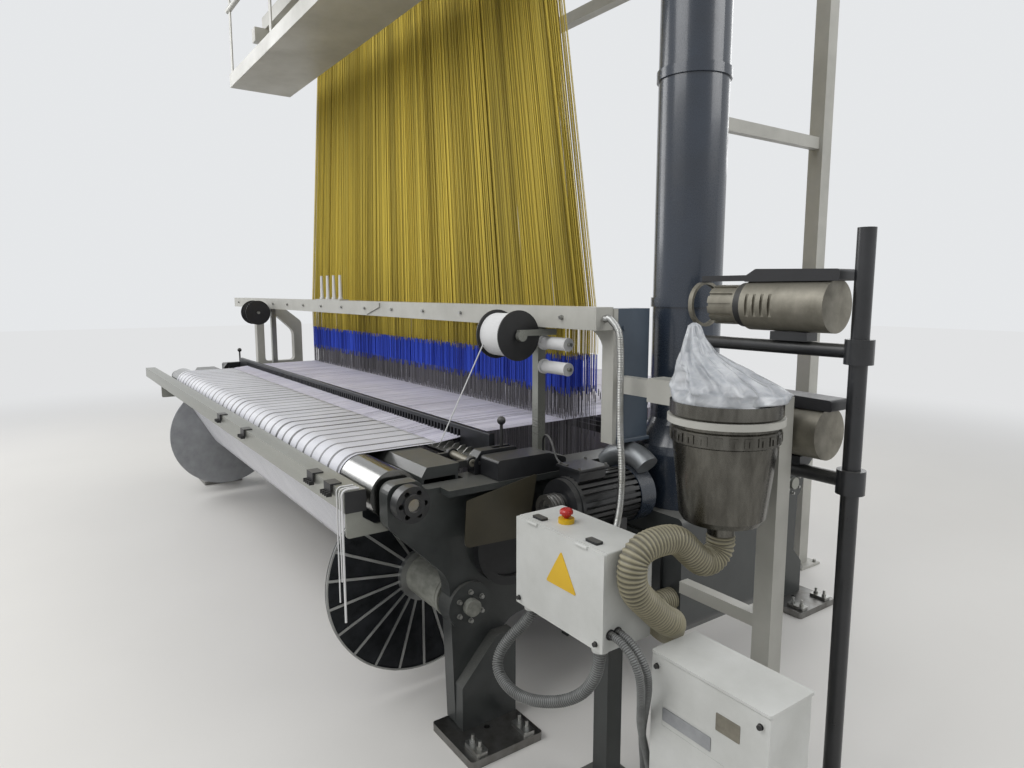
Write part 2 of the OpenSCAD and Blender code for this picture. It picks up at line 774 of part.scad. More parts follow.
module yarn_pegs() color("white") {
    // Full pegs that stand on the shelf
    for (x = peg_places) translate([x, -beam_y - beam_w / 2 + 30, beam_top + 6 + gap]) {
        cylinder(r = 16, h = 12, $fn = 32);
        translate([0, 0, 12]) cylinder(r1 = 12, r2 = 9, h = 140, $fn = 32);
    }
    // Spare bobbins pushed on the pins of the selvedge post
    for (z = [1356, 1263])
        difference() {
            union() {
                rod_x(post_x + 40, post_x + 172, -beam_y, z, 24);
                rod_x(post_x + 30, post_x + 40, -beam_y, z, 29);
                rod_x(post_x + 172, post_x + 182, -beam_y, z, 25);
            }
            rod_x(post_x + 29, post_x + 183, -beam_y, z, 7 + gap);
        }
}

// Posts with pins for the selvedge spools
module spool_post() {
    half = post_w / 2;
    x1 = spool_x + spool_l + 6;
    box([post_x - half, -beam_y - half, frame_top + 14], [post_x + half, -beam_y + half, beam_z - gap]);
    box([post_x - 30, -beam_y - 32, frame_top + gap],
        [side_in - 5, -beam_y + 32, frame_top + 14]);
    // Arm of the spool's pin
    box([post_x + half - 1, -beam_y - half, spool_z], [x1 + 20, -beam_y + half, beam_z - 8]);
    box([x1, spool_y - 14, spool_z], [x1 + 20, -beam_y + half, beam_z - 8]);
    rod_x(x1, x1 + 20, spool_y, spool_z, 20, 32);
    rod_x(spool_x - 20, x1 + 1, spool_y, spool_z, spool_bore);
}

module spool_posts() color("silver") {
    both_ends() spool_post();
    for (z = [1356, 1263]) {
        rod_x(post_x + post_w / 2, post_x + 196, -beam_y, z, 7, 24);
        rod_x(post_x + post_w / 2, post_x + 28, -beam_y, z, 20, 32);
    }
}

module spool() {
    x0 = spool_x;
    x1 = spool_x + spool_l;
    difference() {
        union() {
            rod_x(x0, x0 + 6, spool_y, spool_z, spool_r, 72);
            rod_x(x0, x1, spool_y, spool_z, spool_r - 9, 72);
            rod_x(x1 - 6, x1, spool_y, spool_z, spool_r, 72);
        }
        rod_x(x0 - 1, x1 + 1, spool_y, spool_z, spool_bore + fit);
    }
}

module spool_right() { color("white") spool(); }

module spool_left() { color("white") mirror([1, 0, 0]) spool(); }

// Harness
cord_ys = [for (r = [0:cord_rows - 1])
    -harness_front + (harness_front - harness_back) * r / (cord_rows - 1)];
cord_us = [for (c = [0:cord_cols - 1]) (c + 0.5) / cord_cols * 2 - 1];

module cord(xa, xb, y, z0, z1) {
    lean = atan((xb - xa) / (z1 - z0));
    lift = cord_t / 2 * abs(sin(lean)) + gap;
    translate([xa, y, z0 + lift]) rotate([0, lean, 0])
        translate([-cord_t / 2, -cord_t / 2, 0])
        cube([cord_t, cord_t, (z1 - z0 - 2 * lift) / cos(lean)]);
}

module comber_board() color("tan") {
    half = harness_w / 2 + 30;
    rail = 26;
    front = -harness_front - 20;
    rear = -harness_back + 20;
    box([-half, front, comber_z], [half, rear, comber_z + comber_t]);
    for (y = [front - rail, rear]) box([-half, y, comber_z - 6], [half, y + rail, comber_z + 24]);
    // Arms that hang the board from the crossbeam
    for (x = [-1, -0.35, 0.35, 1] * (half - 70))
        box([x - 15, beam_back + gap, comber_z - 6], [x + 15, front - rail, comber_z + 24]);
}

module harness_yellow() color("gold") {
    for (y = cord_ys, u = cord_us) {
        cord(u * harness_w / 2, u * harness_top_w / 2, y, comber_z + comber_t, head_z);
        cord(u * harness_w / 2, u * harness_w / 2, y, blue_top, comber_z);
    }
}

module harness_blue() color("mediumblue") {
    for (y = cord_ys, u = cord_us)
        cord(u * harness_w / 2, u * harness_w / 2, y, blue_bottom, blue_top);
}

module heddles() color("gray") {
    for (y = cord_ys, u = cord_us)
        cord(u * harness_w / 2, u * harness_w / 2, y, spring_z, blue_bottom);
}

module spring_frame() color("dimgray") {
    half = harness_w / 2 + 30;
    front = -harness_front - 20;
    rear = -harness_back + 20;
    box([-half, front, spring_z - 30], [half, rear, spring_z]);
    for (x = [-half, -half / 3, half / 3, half - 40])
        box([x, front, 0], [x + 40, rear, spring_z - 30]);
}

// Warp in ribbons between the columns of heddles
module warp() color("lavender") {
    c = [rest_y, rest_z];
    r = rest_r + gap;
    path = concat(
        [[warp_front, warp_z - 15]],
        arc(c, r, 90, 0, 16),
        [[rest_y + r, warp_beam_z]],
        [[rest_y + r + warp_t, warp_beam_z]],
        arc(c, r + warp_t, 0, 90, 16),
        [[warp_front, warp_z - 15 + warp_t]]
    );
    for (k = [0:cord_cols]) {
        x = (k / cord_cols * 2 - 1) * harness_w / 2;
        w = k == 0 || k == cord_cols ? ribbon_w / 2 : ribbon_w;
        across(x - w / 2, x + w / 2, path);
    }
}

// Drop wires on their bars, under the warp behind the harness
module drop_wires() color("darkgray") {
    bars = [180, 260, 340];
    for (y = bars) {
        box([-side_in + gap, y - 6, warp_z - 150], [side_in - gap, y + 6, warp_z - 118]);
        for (k = [0:cord_cols - 1]) {
            x = cord_us[k] * harness_w / 2;
            box([x - 2, y + 7, warp_z - 180], [x + 2, y + 10, warp_z + 34]);
        }
    }
    // Rails that carry the drop wires
    for (y = bars) box([-harness_w / 2, y + 6, warp_z - 150], [harness_w / 2, y + 7, warp_z - 118]);
}

module back_rest() color("silver") {
    end = side_in - 12;
    rod_x(-end, end, rest_y, rest_z, rest_r, 72);
    both_ends() rod_x(end, side_out + 20, rest_y, rest_z, small_shaft);
}

module warp_beam() color("silver") {
    flange_x = harness_w / 2 + 20;
    rod_x(-flange_x - 60, flange_x + 60, warp_beam_y, warp_beam_z, 100, 72);
    both_ends() {
        rod_x(flange_x, flange_x + 8, warp_beam_y, warp_beam_z, warp_flange_r, 120);
        difference() {
            rod_x(flange_x, flange_x + 24, warp_beam_y, warp_beam_z, warp_flange_r, 120);
            rod_x(flange_x - 1, flange_x + 25, warp_beam_y, warp_beam_z, warp_flange_r - 12, 120);
        }
        for (k = [0:9])
            translate([flange_x, warp_beam_y, warp_beam_z]) rotate([36 * k, 0, 0])
                translate([7, -9, 90]) cube([14, 18, warp_flange_r - 96]);
        rod_x(flange_x + 60, side_out + 30, warp_beam_y, warp_beam_z, roll_shaft);
    }
}

module wound_warp() color("lavender") difference() {
    rod_x(-harness_w / 2 - 18, harness_w / 2 + 18, warp_beam_y, warp_beam_z, warp_wound_r, 96);
    rod_x(-harness_w / 2 - 19, harness_w / 2 + 19, warp_beam_y, warp_beam_z, 100 + gap, 96);
}

// Gear cases outside the side frames
module end_cases() color("dimgray") {
    // Case under the jacquard drive, with its bearing
    difference() {
        union() {
            along(-320, 250, rounded([
                [case_x, 300, 30], [guard_x + 150, 300, 60], [guard_x + 195, 360, 40],
                [guard_x + 195, case_top, 25], [case_x, case_top, 10]
            ]));
            for (x = [case_x + 60, guard_x + 150], z = [360, case_top - 50]) {
                rod_y(-330, -320, x, z, 14, 6);
            }
            along(-334, -320, rounded_box(case_x + 90, 400, guard_x + 110, case_top - 90, 40));
        }
        rod_z(case_top - 60, case_top + 1, guard_x, -guard_y, 30 + fit);
    }
    // Bracket under the motor
    difference() {
        along(motor_front + 50, motor_back - 50, rounded([
            [side_out + flange_w + 3, motor_z - motor_r - 40, 0],
            [motor_x + 120, motor_z - motor_r - 40, 8],
            [motor_x + 120, motor_z - motor_r - 16, 8],
            [side_out + flange_w + 3, motor_z - motor_r - 16, 0]
        ]));
        box([motor_x - 40, motor_front + 80, 0], [motor_x + 40, motor_back - 80, motor_z]);
    }
    along(motor_front + 80, motor_back - 60, rounded([
        [side_out + gap, 560, 20], [side_out + flange_w + 5, 560, 20],
        [side_out + flange_w + 5, motor_z - motor_r - 16, 4], [side_out + gap, motor_z - motor_r - 16, 4]
    ]));
    // Case that carries the arched casting
    along(-620, 300, rounded([
        [-casting_x - 90, 520, 50], [-case_x, 520, 10], [-case_x, frame_top - flange_t - gap, 2],
        [-side_out - flange_w - gap, frame_top - flange_t - gap, 1],
        [-side_out - flange_w - gap, frame_top, 2], [-casting_x - 90, frame_top, 25]
    ]));
    // Elbow duct of the motor's cooling air
    duct_r = 42;
    translate([motor_x, motor_back + 35, motor_z]) rotate([90, 0, 0]) rotate([0, 0, 52])
        rotate_extrude(angle = 88, $fn = 96)
            translate([motor_r + 4 + gap + duct_r, 0]) circle(r = duct_r, $fn = 40);
}

// Sheet cover of the column behind the crossbeam's end
cover_x = 2090;
cover_w = 80;
cover_y = -440;
cover_z = 1024;

module column_cover() color("slategray") {
    x1 = cover_x + cover_w;
    y1 = -285;
    box([cover_x, cover_y, cover_z], [x1, y1, beam_top - 6]);
    for (z = [cover_z + 110, cover_z + 400]) rod_x(x1, x1 + 6, cover_y + 30, z, 9, 24);
    // Rolled edge along the cover's foot
    along(cover_y, y1, rounded([
        [cover_x, cover_z - 14, 3], [x1 + 14, cover_z - 14, 3],
        [x1 + 14, cover_z - gap, 3], [cover_x, cover_z - gap, 3]
    ]));
}

// Guard of the upright drive shaft
function guard_line(d) = [
    [bell_r + d, case_top + gap], [bell_r + d, 960], [bell_r + d - 6, 990],
    [guard_r + d + 8, 1062], [guard_r + d, 1084], [guard_r + d, gear_z - gap]
];

function guard_wall_line(t) = concat(
    guard_line(0),
    [for (i = [5:-1:0]) guard_line(-t)[i]]
);

module drive_guard() color("#2c3340") translate([guard_x, -guard_y, 0]) {
    rotate_extrude($fn = 96) polygon(guard_wall_line(guard_wall));
    // Seam flanges where the two half shells are bolted together
    for (y = [-7, 0.5])
        intersection() {
            rotate_extrude($fn = 96) polygon(concat(
                guard_line(26), [for (i = [5:-1:0]) guard_line(-1)[i]]));
            box([-bell_r - 40, y, case_top], [0, y + 6.5, gear_z]);
        }
    // Clamp bands
    for (z = [1496, 2300, 3100])
        difference() {
            cylinder_at(z, guard_r + 7, 34);
            cylinder_at(z - 1, guard_r - 1, 36);
            box([-bell_r, -7.5, z - 2], [0, 7.5, z + 40]);
        }
}

module cylinder_at(z, r, h) { translate([0, 0, z]) cylinder(r = r, h = h, $fn = 96); }

module drive_shaft() color("silver") {
    rod_z(case_top - 55, gear_z + 40, guard_x, -guard_y, 30);
    for (z = [900, gear_z - 200]) rod_z(z, z + 120, guard_x, -guard_y, 62);
}

// Jacquard head with the gearbox that the shaft drives
module jacquard_head() color("lightgray") {
    half = head_w / 2;
    y0 = head_y - head_d / 2;
    y1 = head_y + head_d / 2;
    difference() {
        across(-half, half, rounded_box(y0, head_z, y1, head_z + head_h, 40));
        // Joints between the doors, front and back
        for (k = [-2:2], y = [y0 - 1, y1 - 5])
            box([k * head_w / 5 - head_w / 10 - 3, y, head_z + 60],
                [k * head_w / 5 - head_w / 10 + 3, y + 6, head_z + head_h - 60]);
        for (z = [head_z + 56, head_z + head_h - 60], y = [y0 - 1, y1 - 5])
            box([-half + 60, y, z], [half - 60, y + 6, z + 6]);
    }
    // Gearbox, and the tube of the cross shaft
    difference() {
        along(-guard_y - 110, -guard_y + 110, rounded_box(
            guard_x - 110, gear_z, guard_x + 110, gear_z + 240, 30));
        rod_z(gear_z - 1, gear_z + 45, guard_x, -guard_y, 30 + fit);
    }
    rod_x(half, guard_x - 110, -guard_y, gear_z + 120, 60);
}

// Gantry that carries the jacquard head, and its walkway
module gantry() color("gainsboro") {
    t = leg_tube / 2;
    x = gantry_x;
    for (s = [-1, 1]) {
        for (y = [gantry_front, gantry_back]) {
            box([s * x - t, y - t, 12 + gap], [s * x + t, y + t, beam_up - 100 - gap]);
            box([s * x - 90, y - 90, 0], [s * x + 90, y + 90, 12]);
        }
        // Long beams front to back, and knee braces
        box([s * x - t, -560, beam_up - 100], [s * x + t, gantry_back + 80, beam_up - gap]);
        across(s * x - 25, s * x + 25, [
            [gantry_front - t - gap, 2800], [gantry_front - t - gap, 2900],
            [-80, beam_up - 100 - gap], [-180, beam_up - 100 - gap]
        ]);
        // Ties between the legs
        for (z = [700, 2300])
            box([s * x - 20, gantry_front + t + gap, z], [s * x + 20, gantry_back - t - gap, z + 60]);
    }
    // Beams along the loom under the head
    for (y = [head_y - head_d / 2 + 20, head_y + head_d / 2 - 100])
        box([-x - t, y, beam_up], [x + t, y + 80, head_z - gap]);
    box([-x - t, gantry_back - t, beam_up], [x + t, gantry_back + t, beam_up + 80]);
    // Walkway plate with its toe boards and hangers
    w = 1450;
    box([-w, -826, walk_z], [w, -398, walk_z + 6]);
    for (y = [-826, -404]) box([-w, y, walk_z + 6 + gap], [w, y + 6, walk_z + 90]);
    for (k = [-w + 30, -w / 3, w / 3, w - 70]) {
        box([k, -400 + gap, walk_z + 5], [k + 40, -392, beam_up + 80]);
        box([k, -820 + gap, walk_z + 6 + gap], [k + 40, -404 - gap, walk_z + 40]);
        box([k, -819, walk_z + 40 + gap], [k + 40, -811, walk_z + 1000]);
    }
    for (z = [walk_z + 500, walk_z + 1000]) rod_x(-w, w, -815, z + 17, 19, 32);
}

// Motor
module motor() color("#22252a") {
    fins = 28;
    difference() {
        rod_y(motor_front + 30, motor_back, motor_x, motor_z, motor_r, 96);
        for (k = [0:fins - 1])
            translate([motor_x, 0, motor_z]) rotate([0, 360 / fins * (k + 0.5), 0])
                box([-4.5, motor_front + 44, motor_r - 13], [4.5, motor_back + 1, motor_r + 4]);
    }
    // End shield with its bearing
    difference() {
        union() {
            rod_y(motor_front + 8, motor_front + 30 - gap, motor_x, motor_z, motor_r - 4, 72);
            rod_y(motor_front, motor_front + 9, motor_x, motor_z, 48);
        }
        rod_y(motor_front - 1, motor_front + 31, motor_x, motor_z, 14 + fit);
    }
    // Feet and terminal box
    for (y = [motor_front + 70, motor_back - 110], s = [-1, 1])
        box([motor_x + s * 75 - 25, y, motor_z - motor_r - 16 + gap],
            [motor_x + s * 75 + 25, y + 40, motor_z - motor_r + 48]);
    along(motor_front + 48, motor_front + 168, rounded([
        [motor_x - 52, motor_z + motor_r - 10, 4], [motor_x + 52, motor_z + motor_r - 10, 4],
        [motor_x + 56, motor_z + motor_r + 26, 6], [motor_x - 56, motor_z + motor_r + 26, 6]
    ]));
    along(motor_front + 40, motor_front + 176, rounded_box(
        motor_x - 64, motor_z + motor_r + 26 + gap, motor_x + 64, motor_z + motor_r + 36, 4));
}

module motor_cowl() color("#2b3346") difference() {
    rod_y(motor_back + gap, motor_back + 70, motor_x, motor_z, motor_r + 4, 96);
    rod_y(motor_back - 1, motor_back + 64, motor_x, motor_z, motor_r, 96);
    for (k = [0:4], a = [0:5])
        translate([motor_x, 0, motor_z]) rotate([0, 60 * a + 12 * (k % 2), 0])
            rod_y(motor_back + 60, motor_back + 71, 22 + 15 * k, 0, 5, 16);
}

module motor_pulley() color("gray") {
    rod_y(motor_front - 62, motor_front + 27, motor_x, motor_z, 14);
    difference() {
        rod_y(motor_front - 56, motor_front - 6, motor_x, motor_z, 52, 64);
        for (y = [-48, -34, -20])
            translate([motor_x, motor_front + y, motor_z]) rotate([90, 0, 0])
                rotate_extrude($fn = 64) polygon([[44, 0], [54, 5], [54, -5]]);
        rod_y(motor_front - 57, motor_front - 40, motor_x, motor_z, 34, 48);
    }
}

// Control box with its hinged front
module control_box() color("gainsboro") {
    y1 = box_y + door_t + box_d;
    z0 = box_top - box_h;
    wall = 3;
    difference() {
        along(box_y + door_t, y1, rounded_box(box_x, z0, box_x + box_w, box_top, 4));
        box([box_x + wall, box_y + door_t - 1, z0 + wall],
            [box_x + box_w - wall, y1 - wall, box_top - wall]);
        rod_z(box_top - 5, box_top + 1, stop_x, stop_y, 11, 32);
    }
    // Glands for the conduit
    for (x = [2328, 2638])
        difference() {
            rod_z(z0 - 22, z0 - gap, x, gland_y, 24, 32);
            rod_z(z0 - 23, z0 + 1, x, gland_y, 19.5, 32);
        }
}

module box_door() color("gainsboro") {
    z0 = box_top - box_h;
    difference() {
        along(box_y, box_y + door_t - door_in, rounded_box(
            box_x, z0, box_x + box_w, box_top - 2, 4));
        box([box_x + 4, box_y + 3, z0 + 4], [box_x + box_w - 4, box_y + door_t, box_top - 6]);
    }
    // Hinge leaves along the top edge
    for (x = [box_x + 60, box_x + box_w - 110])
        rod_x(x, x + 46, box_y - 1, box_top - 3, 5, 24);
    // Screws near the lower corners
    for (x = [box_x + 22, box_x + box_w - 22])
        rod_y(box_y - 4, box_y, x, z0 + 22, 8, 24);
}

module box_stand() color("dimgray") {
    y1 = box_y + door_t + box_d;
    x = box_x + box_w / 2;
    box([x - 30, y1 + gap, 12 + gap], [x + 30, y1 + 60, box_top - 40]);
    box([x - 110, y1 - 80, 0], [x + 110, y1 + 140, 12]);
    for (z = [box_top - 90, box_top - box_h + 30])
        box([x - 120, y1 + gap, z], [x - 30 - gap, y1 + 8, z + 30]);
    for (z = [box_top - 90, box_top - box_h + 30])
        box([x + 30 + gap, y1 + gap, z], [x + 120, y1 + 8, z + 30]);
}

module stop_base() color("gold") difference() {
    union() {
        rod_z(box_top + gap, box_top + 14, stop_x, stop_y, 24, 64);
        rod_z(box_top - 30, box_top + gap, stop_x, stop_y, 11 - gap, 32);
    }
    rod_z(box_top - 31, box_top + 15, stop_x, stop_y, 7 + fit, 32);
}

module stop_button() color("red") {
    z = box_top + 14 + stop_travel + 1;
    rod_z(box_top - 26, z, stop_x, stop_y, 7, 32);
    translate([stop_x, stop_y, z]) rotate_extrude($fn = 64) polygon([
        [0, 0], [13, 0], [15, 6], [stop_r, 8], [stop_r, 15], [stop_r - 3, 20], [12, 23], [0, 24]
    ]);
}

// Cabinet on the floor beside the loom
module floor_cabinet() color("gainsboro") {
    x1 = cabinet_x + cabinet_w;
    y1 = cabinet_y + cabinet_d;
    upward(0, cabinet_h - 2, rounded_box(cabinet_x + 3, cabinet_y + 10, x1 - 3, y1, 5));
    // Front cover with its four screws, and the lid
    difference() {
        along(cabinet_y, cabinet_y + 10 - gap, rounded_box(cabinet_x, 8, x1, cabinet_h - 4, 6));
        box([cabinet_x + 40, cabinet_y - 1, cabinet_h - 190],
            [cabinet_x + 240, cabinet_y + 1, cabinet_h - 130]);
    }
    for (x = [cabinet_x + 22, x1 - 22], z = [34, cabinet_h - 30])
        rod_y(cabinet_y - 4, cabinet_y, x, z, 8, 24);
    upward(cabinet_h - 2 + gap, cabinet_h + 6, rounded_box(cabinet_x - 2, cabinet_y - 2, x1 + 2, y1 + 2, 6));
    // Floor duct of its cables, to the foot of the box stand
    box([2605 + gap, cabinet_y + 60, 0], [cabinet_x + 4, cabinet_y + 110, 34]);
}

// Bucket, its bag and its stand
module bucket() color("silver") {
    rim = bucket_z + bucket_h;
    w = bucket_wall;
    neck_r = hose_d / 2 - 3;
    translate([bucket_x, bucket_y, 0]) rotate_extrude($fn = 96) polygon([
        [neck_r - w, bucket_z - neck_h], [neck_r, bucket_z - neck_h], [neck_r, bucket_z - 24],
        [bucket_foot_r - 40, bucket_z - 8], [bucket_foot_r - 10, bucket_z],
        [bucket_foot_r, bucket_z + 16], [bucket_r - 10, rim - 112], [bucket_r - 4, rim - 108],
        [bucket_r - 4, rim - 72], [bucket_r - 8, rim - 68], [bucket_r - 6, rim - 40],
        [bucket_r, rim - 34], [bucket_r, rim], [bucket_r - w, rim],
        [bucket_r - w, rim - 32], [bucket_r - 11, rim - 44], [bucket_foot_r - w, bucket_z + 20],
        [bucket_foot_r - 14, bucket_z + w + 2], [neck_r - w, bucket_z - 18]
    ]);
    // Key pattern round the bucket's band
    steps = 24;
    for (k = [0:steps - 1])
        translate([bucket_x, bucket_y, rim - 102]) rotate([0, 0, 360 / steps * k])
            translate([bucket_r - 5.5, -7, 0])
            difference() {
                cube([3.5, 22, 24]);
                translate([-1, 5, -1]) cube([6, 8, 18]);
            }
}

module bucket_bag() color("whitesmoke") {
    rim = bucket_z + bucket_h;
    translate([bucket_x, bucket_y, rim + gap]) rotate_extrude($fn = 48) polygon([
        [0, 0], [bucket_r + 12, 0], [bucket_r + 14, 22], [bucket_r - 10, 60], [bucket_r - 40, 84], [0, 92]
    ]);
    // The gathered corner that is pulled up to the left
    translate([bucket_x - 64, bucket_y - 26, rim + 92 + gap * 2])
        cylinder(r1 = 78, r2 = 16, h = 118, $fn = 40);
}

module bucket_stand() color("gray") {
    x = stand_x;
    y = stand_y;
    t = stand_w / 2;
    rim = bucket_z + bucket_h;
    box([x - t, y - t, 12 + gap], [x + t, y + t, rim - 2]);
    box([x - 150, y - 150, 0], [feeder_pipe_x - 110 - gap, y + 100, 12]);
    // Ring under the bucket's rim
    translate([bucket_x, bucket_y, rim - 58]) linear_extrude(18) difference() {
        circle(r = bucket_r + 6, $fn = 96);
        circle(r = bucket_r - 6 + 2 * gap, $fn = 96);
    }
    // Light square arm from the column cover to the stand, its sleeve and its knob
    box([cover_x + cover_w + gap, y - 20, 1194], [x - t - gap, y + 20, 1254]);
    box([2330, y - 40, 1184], [2660, y + 40, 1264]);
    rod_y(y - 70, y - 39, 2500, 1240, 16, 32);
    // Low crossbar
    box([x - 320, y - 20, 560], [x - t - gap, y + 20, 600]);
}

// Weft feeders on their pipe stand
module feeder_cases() color("#8d8a80") {
    for (z = feeder_zs) {
        x0 = feeder_x;
        x1 = feeder_x + feeder_l;
        difference() {
            rod_x(x0, x1, feeder_y, z, drum_r + 14, 72);
            for (k = [-1.5:1:1.5])
                box([x0 + 60 + k * 26, feeder_y - drum_r - 20, z - 34],
                    [x0 + 70 + k * 26, feeder_y - drum_r - 6, z + 34]);
            rod_x(x0 - 1, x0 + 60, feeder_y, z, 12 + fit, 32);
        }
        // Top cover with its lamp
        along(feeder_y - 42, feeder_y + 42, rounded([
            [x0 - 8, z + drum_r + 8, 4], [x1 + 26, z + drum_r + 8, 6], [x1 + 26, z + drum_r + 40, 10],
            [x0 + 30, z + drum_r + 46, 16], [x0 - 8, z + drum_r + 24, 8]
        ]));
        // Fixed drum and its arm and guide ring
        difference() {
            rod_x(x0 - 130, x0 - 28 - gap, feeder_y, z, drum_r, 72);
            for (k = [0:11])
                translate([0, feeder_y, z]) rotate([30 * k, 0, 0])
                    box([x0 - 131, drum_r - 6, -5], [x0 - 40, drum_r + 2, 5]);
        }
        box([x0 - 196, feeder_y - 9, z + drum_r + 11], [x0 - 8 - gap, feeder_y + 9, z + drum_r + 29]);
        difference() {
            rod_x(x0 - 196, x0 - 180, feeder_y, z, drum_r + 12, 72);
            rod_x(x0 - 197, x0 - 179, feeder_y, z, drum_r + 2, 72);
        }
    }
}

module flyer(z) {
    x0 = feeder_x;
    difference() {
        union() {
            rod_x(x0 - 28, x0 - gap, feeder_y, z, drum_r + 6, 72);
            rod_x(x0 - gap, x0 + 50, feeder_y, z, 12, 32);
        }
        rod_x(x0 - 29, x0 - 6, feeder_y + drum_r - 8, z, 4, 16);
    }
}

module flyer_upper() { color("black") flyer(feeder_zs[0]); }

module flyer_lower() { color("black") flyer(feeder_zs[1]); }

module feeder_stand() color("#3a3a3a") {
    y = feeder_y;
    pipe = 24;
    rod_z(12 + gap, 1720, feeder_pipe_x, y, pipe, 32);
    box([feeder_pipe_x - 110, y - 110, 0], [feeder_pipe_x + 110, y + 110, 12]);
    for (z = feeder_zs) {
        low = z - drum_r - 60;
        // Pipe under the feeder, its clamp and the seat
        rod_x(2440, feeder_pipe_x - pipe - gap, y, low, 20, 32);
        difference() {
            rod_z(low - 34, low + 34, feeder_pipe_x, y, pipe + 14, 32);
            rod_z(low - 35, low + 35, feeder_pipe_x, y, pipe + gap, 32);
            rod_x(2900, feeder_pipe_x, y, low, 20 + gap, 32);
        }
        box([feeder_x + 80, y - 26, low + 20 + gap], [feeder_x + 200, y + 26, z - drum_r - 14 - gap]);
    }
}

module bucket_hose() { color("#8a8468") swept(smooth(hose_points), hose_d / 2, 12); }

module box_conduit() { color("gray") swept(smooth(box_conduit_points), box_conduit_d / 2, 10); }

module spiral_conduit() { color("silver") swept(smooth(spiral_points), spiral_d / 2, 8); }

side_frame_right();
side_frame_left();
cross_members();
foot_plates();
foot_clamps();
front_rail();
rail_fittings();
breast_roller();
roller_brake();
cloth();
roll_core();
roll_disc_right();
roll_disc_left();
wound_cloth();
sley();
reed();
rapier_guards();
start_lever_right();
start_lever_left();
crossbeam();
beam_supports();
yarn_pegs();
spool_posts();
spool_right();
spool_left();
comber_board();
harness_yellow();
harness_blue();
heddles();
spring_frame();
warp();
drop_wires();
back_rest();
warp_beam();
wound_warp();
end_cases();
column_cover();
drive_guard();
drive_shaft();
jacquard_head();
gantry();
motor();
motor_cowl();
motor_pulley();
control_box();
box_door();
box_stand();
stop_base();
stop_button();
floor_cabinet();
bucket();
bucket_bag();
bucket_stand();
feeder_cases();
feeder_stand();
flyer_upper();
flyer_lower();
bucket_hose();
box_conduit();
spiral_conduit();
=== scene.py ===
# %% [markdown]
# # Dressing a power loom with a jacquard harness
# The solid model already holds the loom's frames, rollers, cases and stands in their right places.
# This lesson loads that model as a fixed frame and gives each piece the finish of the real one.
# It then makes what solids can't show well: thousands of harness cords, the warp, the cloth and the hoses.
# Lengths are in metres, apart from the points of the hoses and cords, which are in millimetres.
# Colours are hex values, as a paint card would give them.

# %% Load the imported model
import json
import math

import bmesh
import bpy
from mathutils import Matrix, Vector, noise


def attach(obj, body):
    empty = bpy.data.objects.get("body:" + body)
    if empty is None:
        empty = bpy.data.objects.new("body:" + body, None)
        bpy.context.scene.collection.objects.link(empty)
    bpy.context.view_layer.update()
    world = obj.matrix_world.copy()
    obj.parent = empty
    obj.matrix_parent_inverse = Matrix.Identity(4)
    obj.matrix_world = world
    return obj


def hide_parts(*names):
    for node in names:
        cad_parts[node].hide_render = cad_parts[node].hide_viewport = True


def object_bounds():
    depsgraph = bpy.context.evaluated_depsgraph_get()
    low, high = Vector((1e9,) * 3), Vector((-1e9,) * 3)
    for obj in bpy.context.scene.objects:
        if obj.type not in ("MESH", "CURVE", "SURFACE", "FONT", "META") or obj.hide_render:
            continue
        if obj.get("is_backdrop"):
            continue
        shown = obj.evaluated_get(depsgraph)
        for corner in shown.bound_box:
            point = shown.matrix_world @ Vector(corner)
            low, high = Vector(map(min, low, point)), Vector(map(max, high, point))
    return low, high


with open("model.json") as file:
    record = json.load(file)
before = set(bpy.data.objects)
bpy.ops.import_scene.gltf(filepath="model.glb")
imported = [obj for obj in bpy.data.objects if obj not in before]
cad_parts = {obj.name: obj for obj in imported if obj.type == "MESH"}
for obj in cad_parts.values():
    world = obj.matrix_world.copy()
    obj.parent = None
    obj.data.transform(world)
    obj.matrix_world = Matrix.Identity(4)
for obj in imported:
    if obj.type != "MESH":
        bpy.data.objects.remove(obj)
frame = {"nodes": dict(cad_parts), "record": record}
nodes = frame["nodes"]
cad_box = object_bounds()

# %% [markdown]
# ## Camera
# The photograph was taken from the drive end, at a standing person's eye height, looking down a little.
# Two edges that run to the horizon gave its place, so the camera is set from three directions:
# right, up and forward.
# A lens of 24.26 mm on a 36 mm sensor is what a 690 pixel focal length means in a frame 1024 pixels wide.

# %% Camera
scene = bpy.context.scene
EYE = Vector((3.949, -2.140, 1.550))
AHEAD = Vector((-0.812, 0.568, -0.132)).normalized()
ASIDE = AHEAD.cross(Vector((0, 0, 1))).normalized()
ABOVE = ASIDE.cross(AHEAD).normalized()

lens = bpy.data.cameras.new("photo_lens")
lens.sensor_width = 36.0
lens.lens = 24.26
lens.clip_end = 80.0
camera = bpy.data.objects.new("photo_camera", lens)
camera.matrix_world = Matrix((
    (ASIDE.x, ABOVE.x, -AHEAD.x, EYE.x),
    (ASIDE.y, ABOVE.y, -AHEAD.y, EYE.y),
    (ASIDE.z, ABOVE.z, -AHEAD.z, EYE.z),
    (0, 0, 0, 1),
))
scene.collection.objects.link(camera)
scene.camera = camera
scene.view_settings.view_transform = "Standard"
print("camera at", tuple(round(v, 3) for v in EYE))

# %% [markdown]
# ## Small helpers
# Paint colours are written as hex. Blender's shaders want linear light, so one function converts them.
# Another adds a node, sets it and links it, for shaders and for Geometry Nodes alike.
# The others start a material with no nodes, and put a finished mesh into the scene.

# %% Helpers for colours, nodes and pieces
MATH = "ShaderNodeMath"


def linear(code):
    """Linear colour of a hex value such as "d8d6cf"."""
    parts = [int(code[i:i + 2], 16) / 255 for i in (0, 2, 4)]
    return tuple(p / 12.92 if p <= 0.04045 else ((p + 0.055) / 1.055) ** 2.4 for p in parts) + (1.0,)


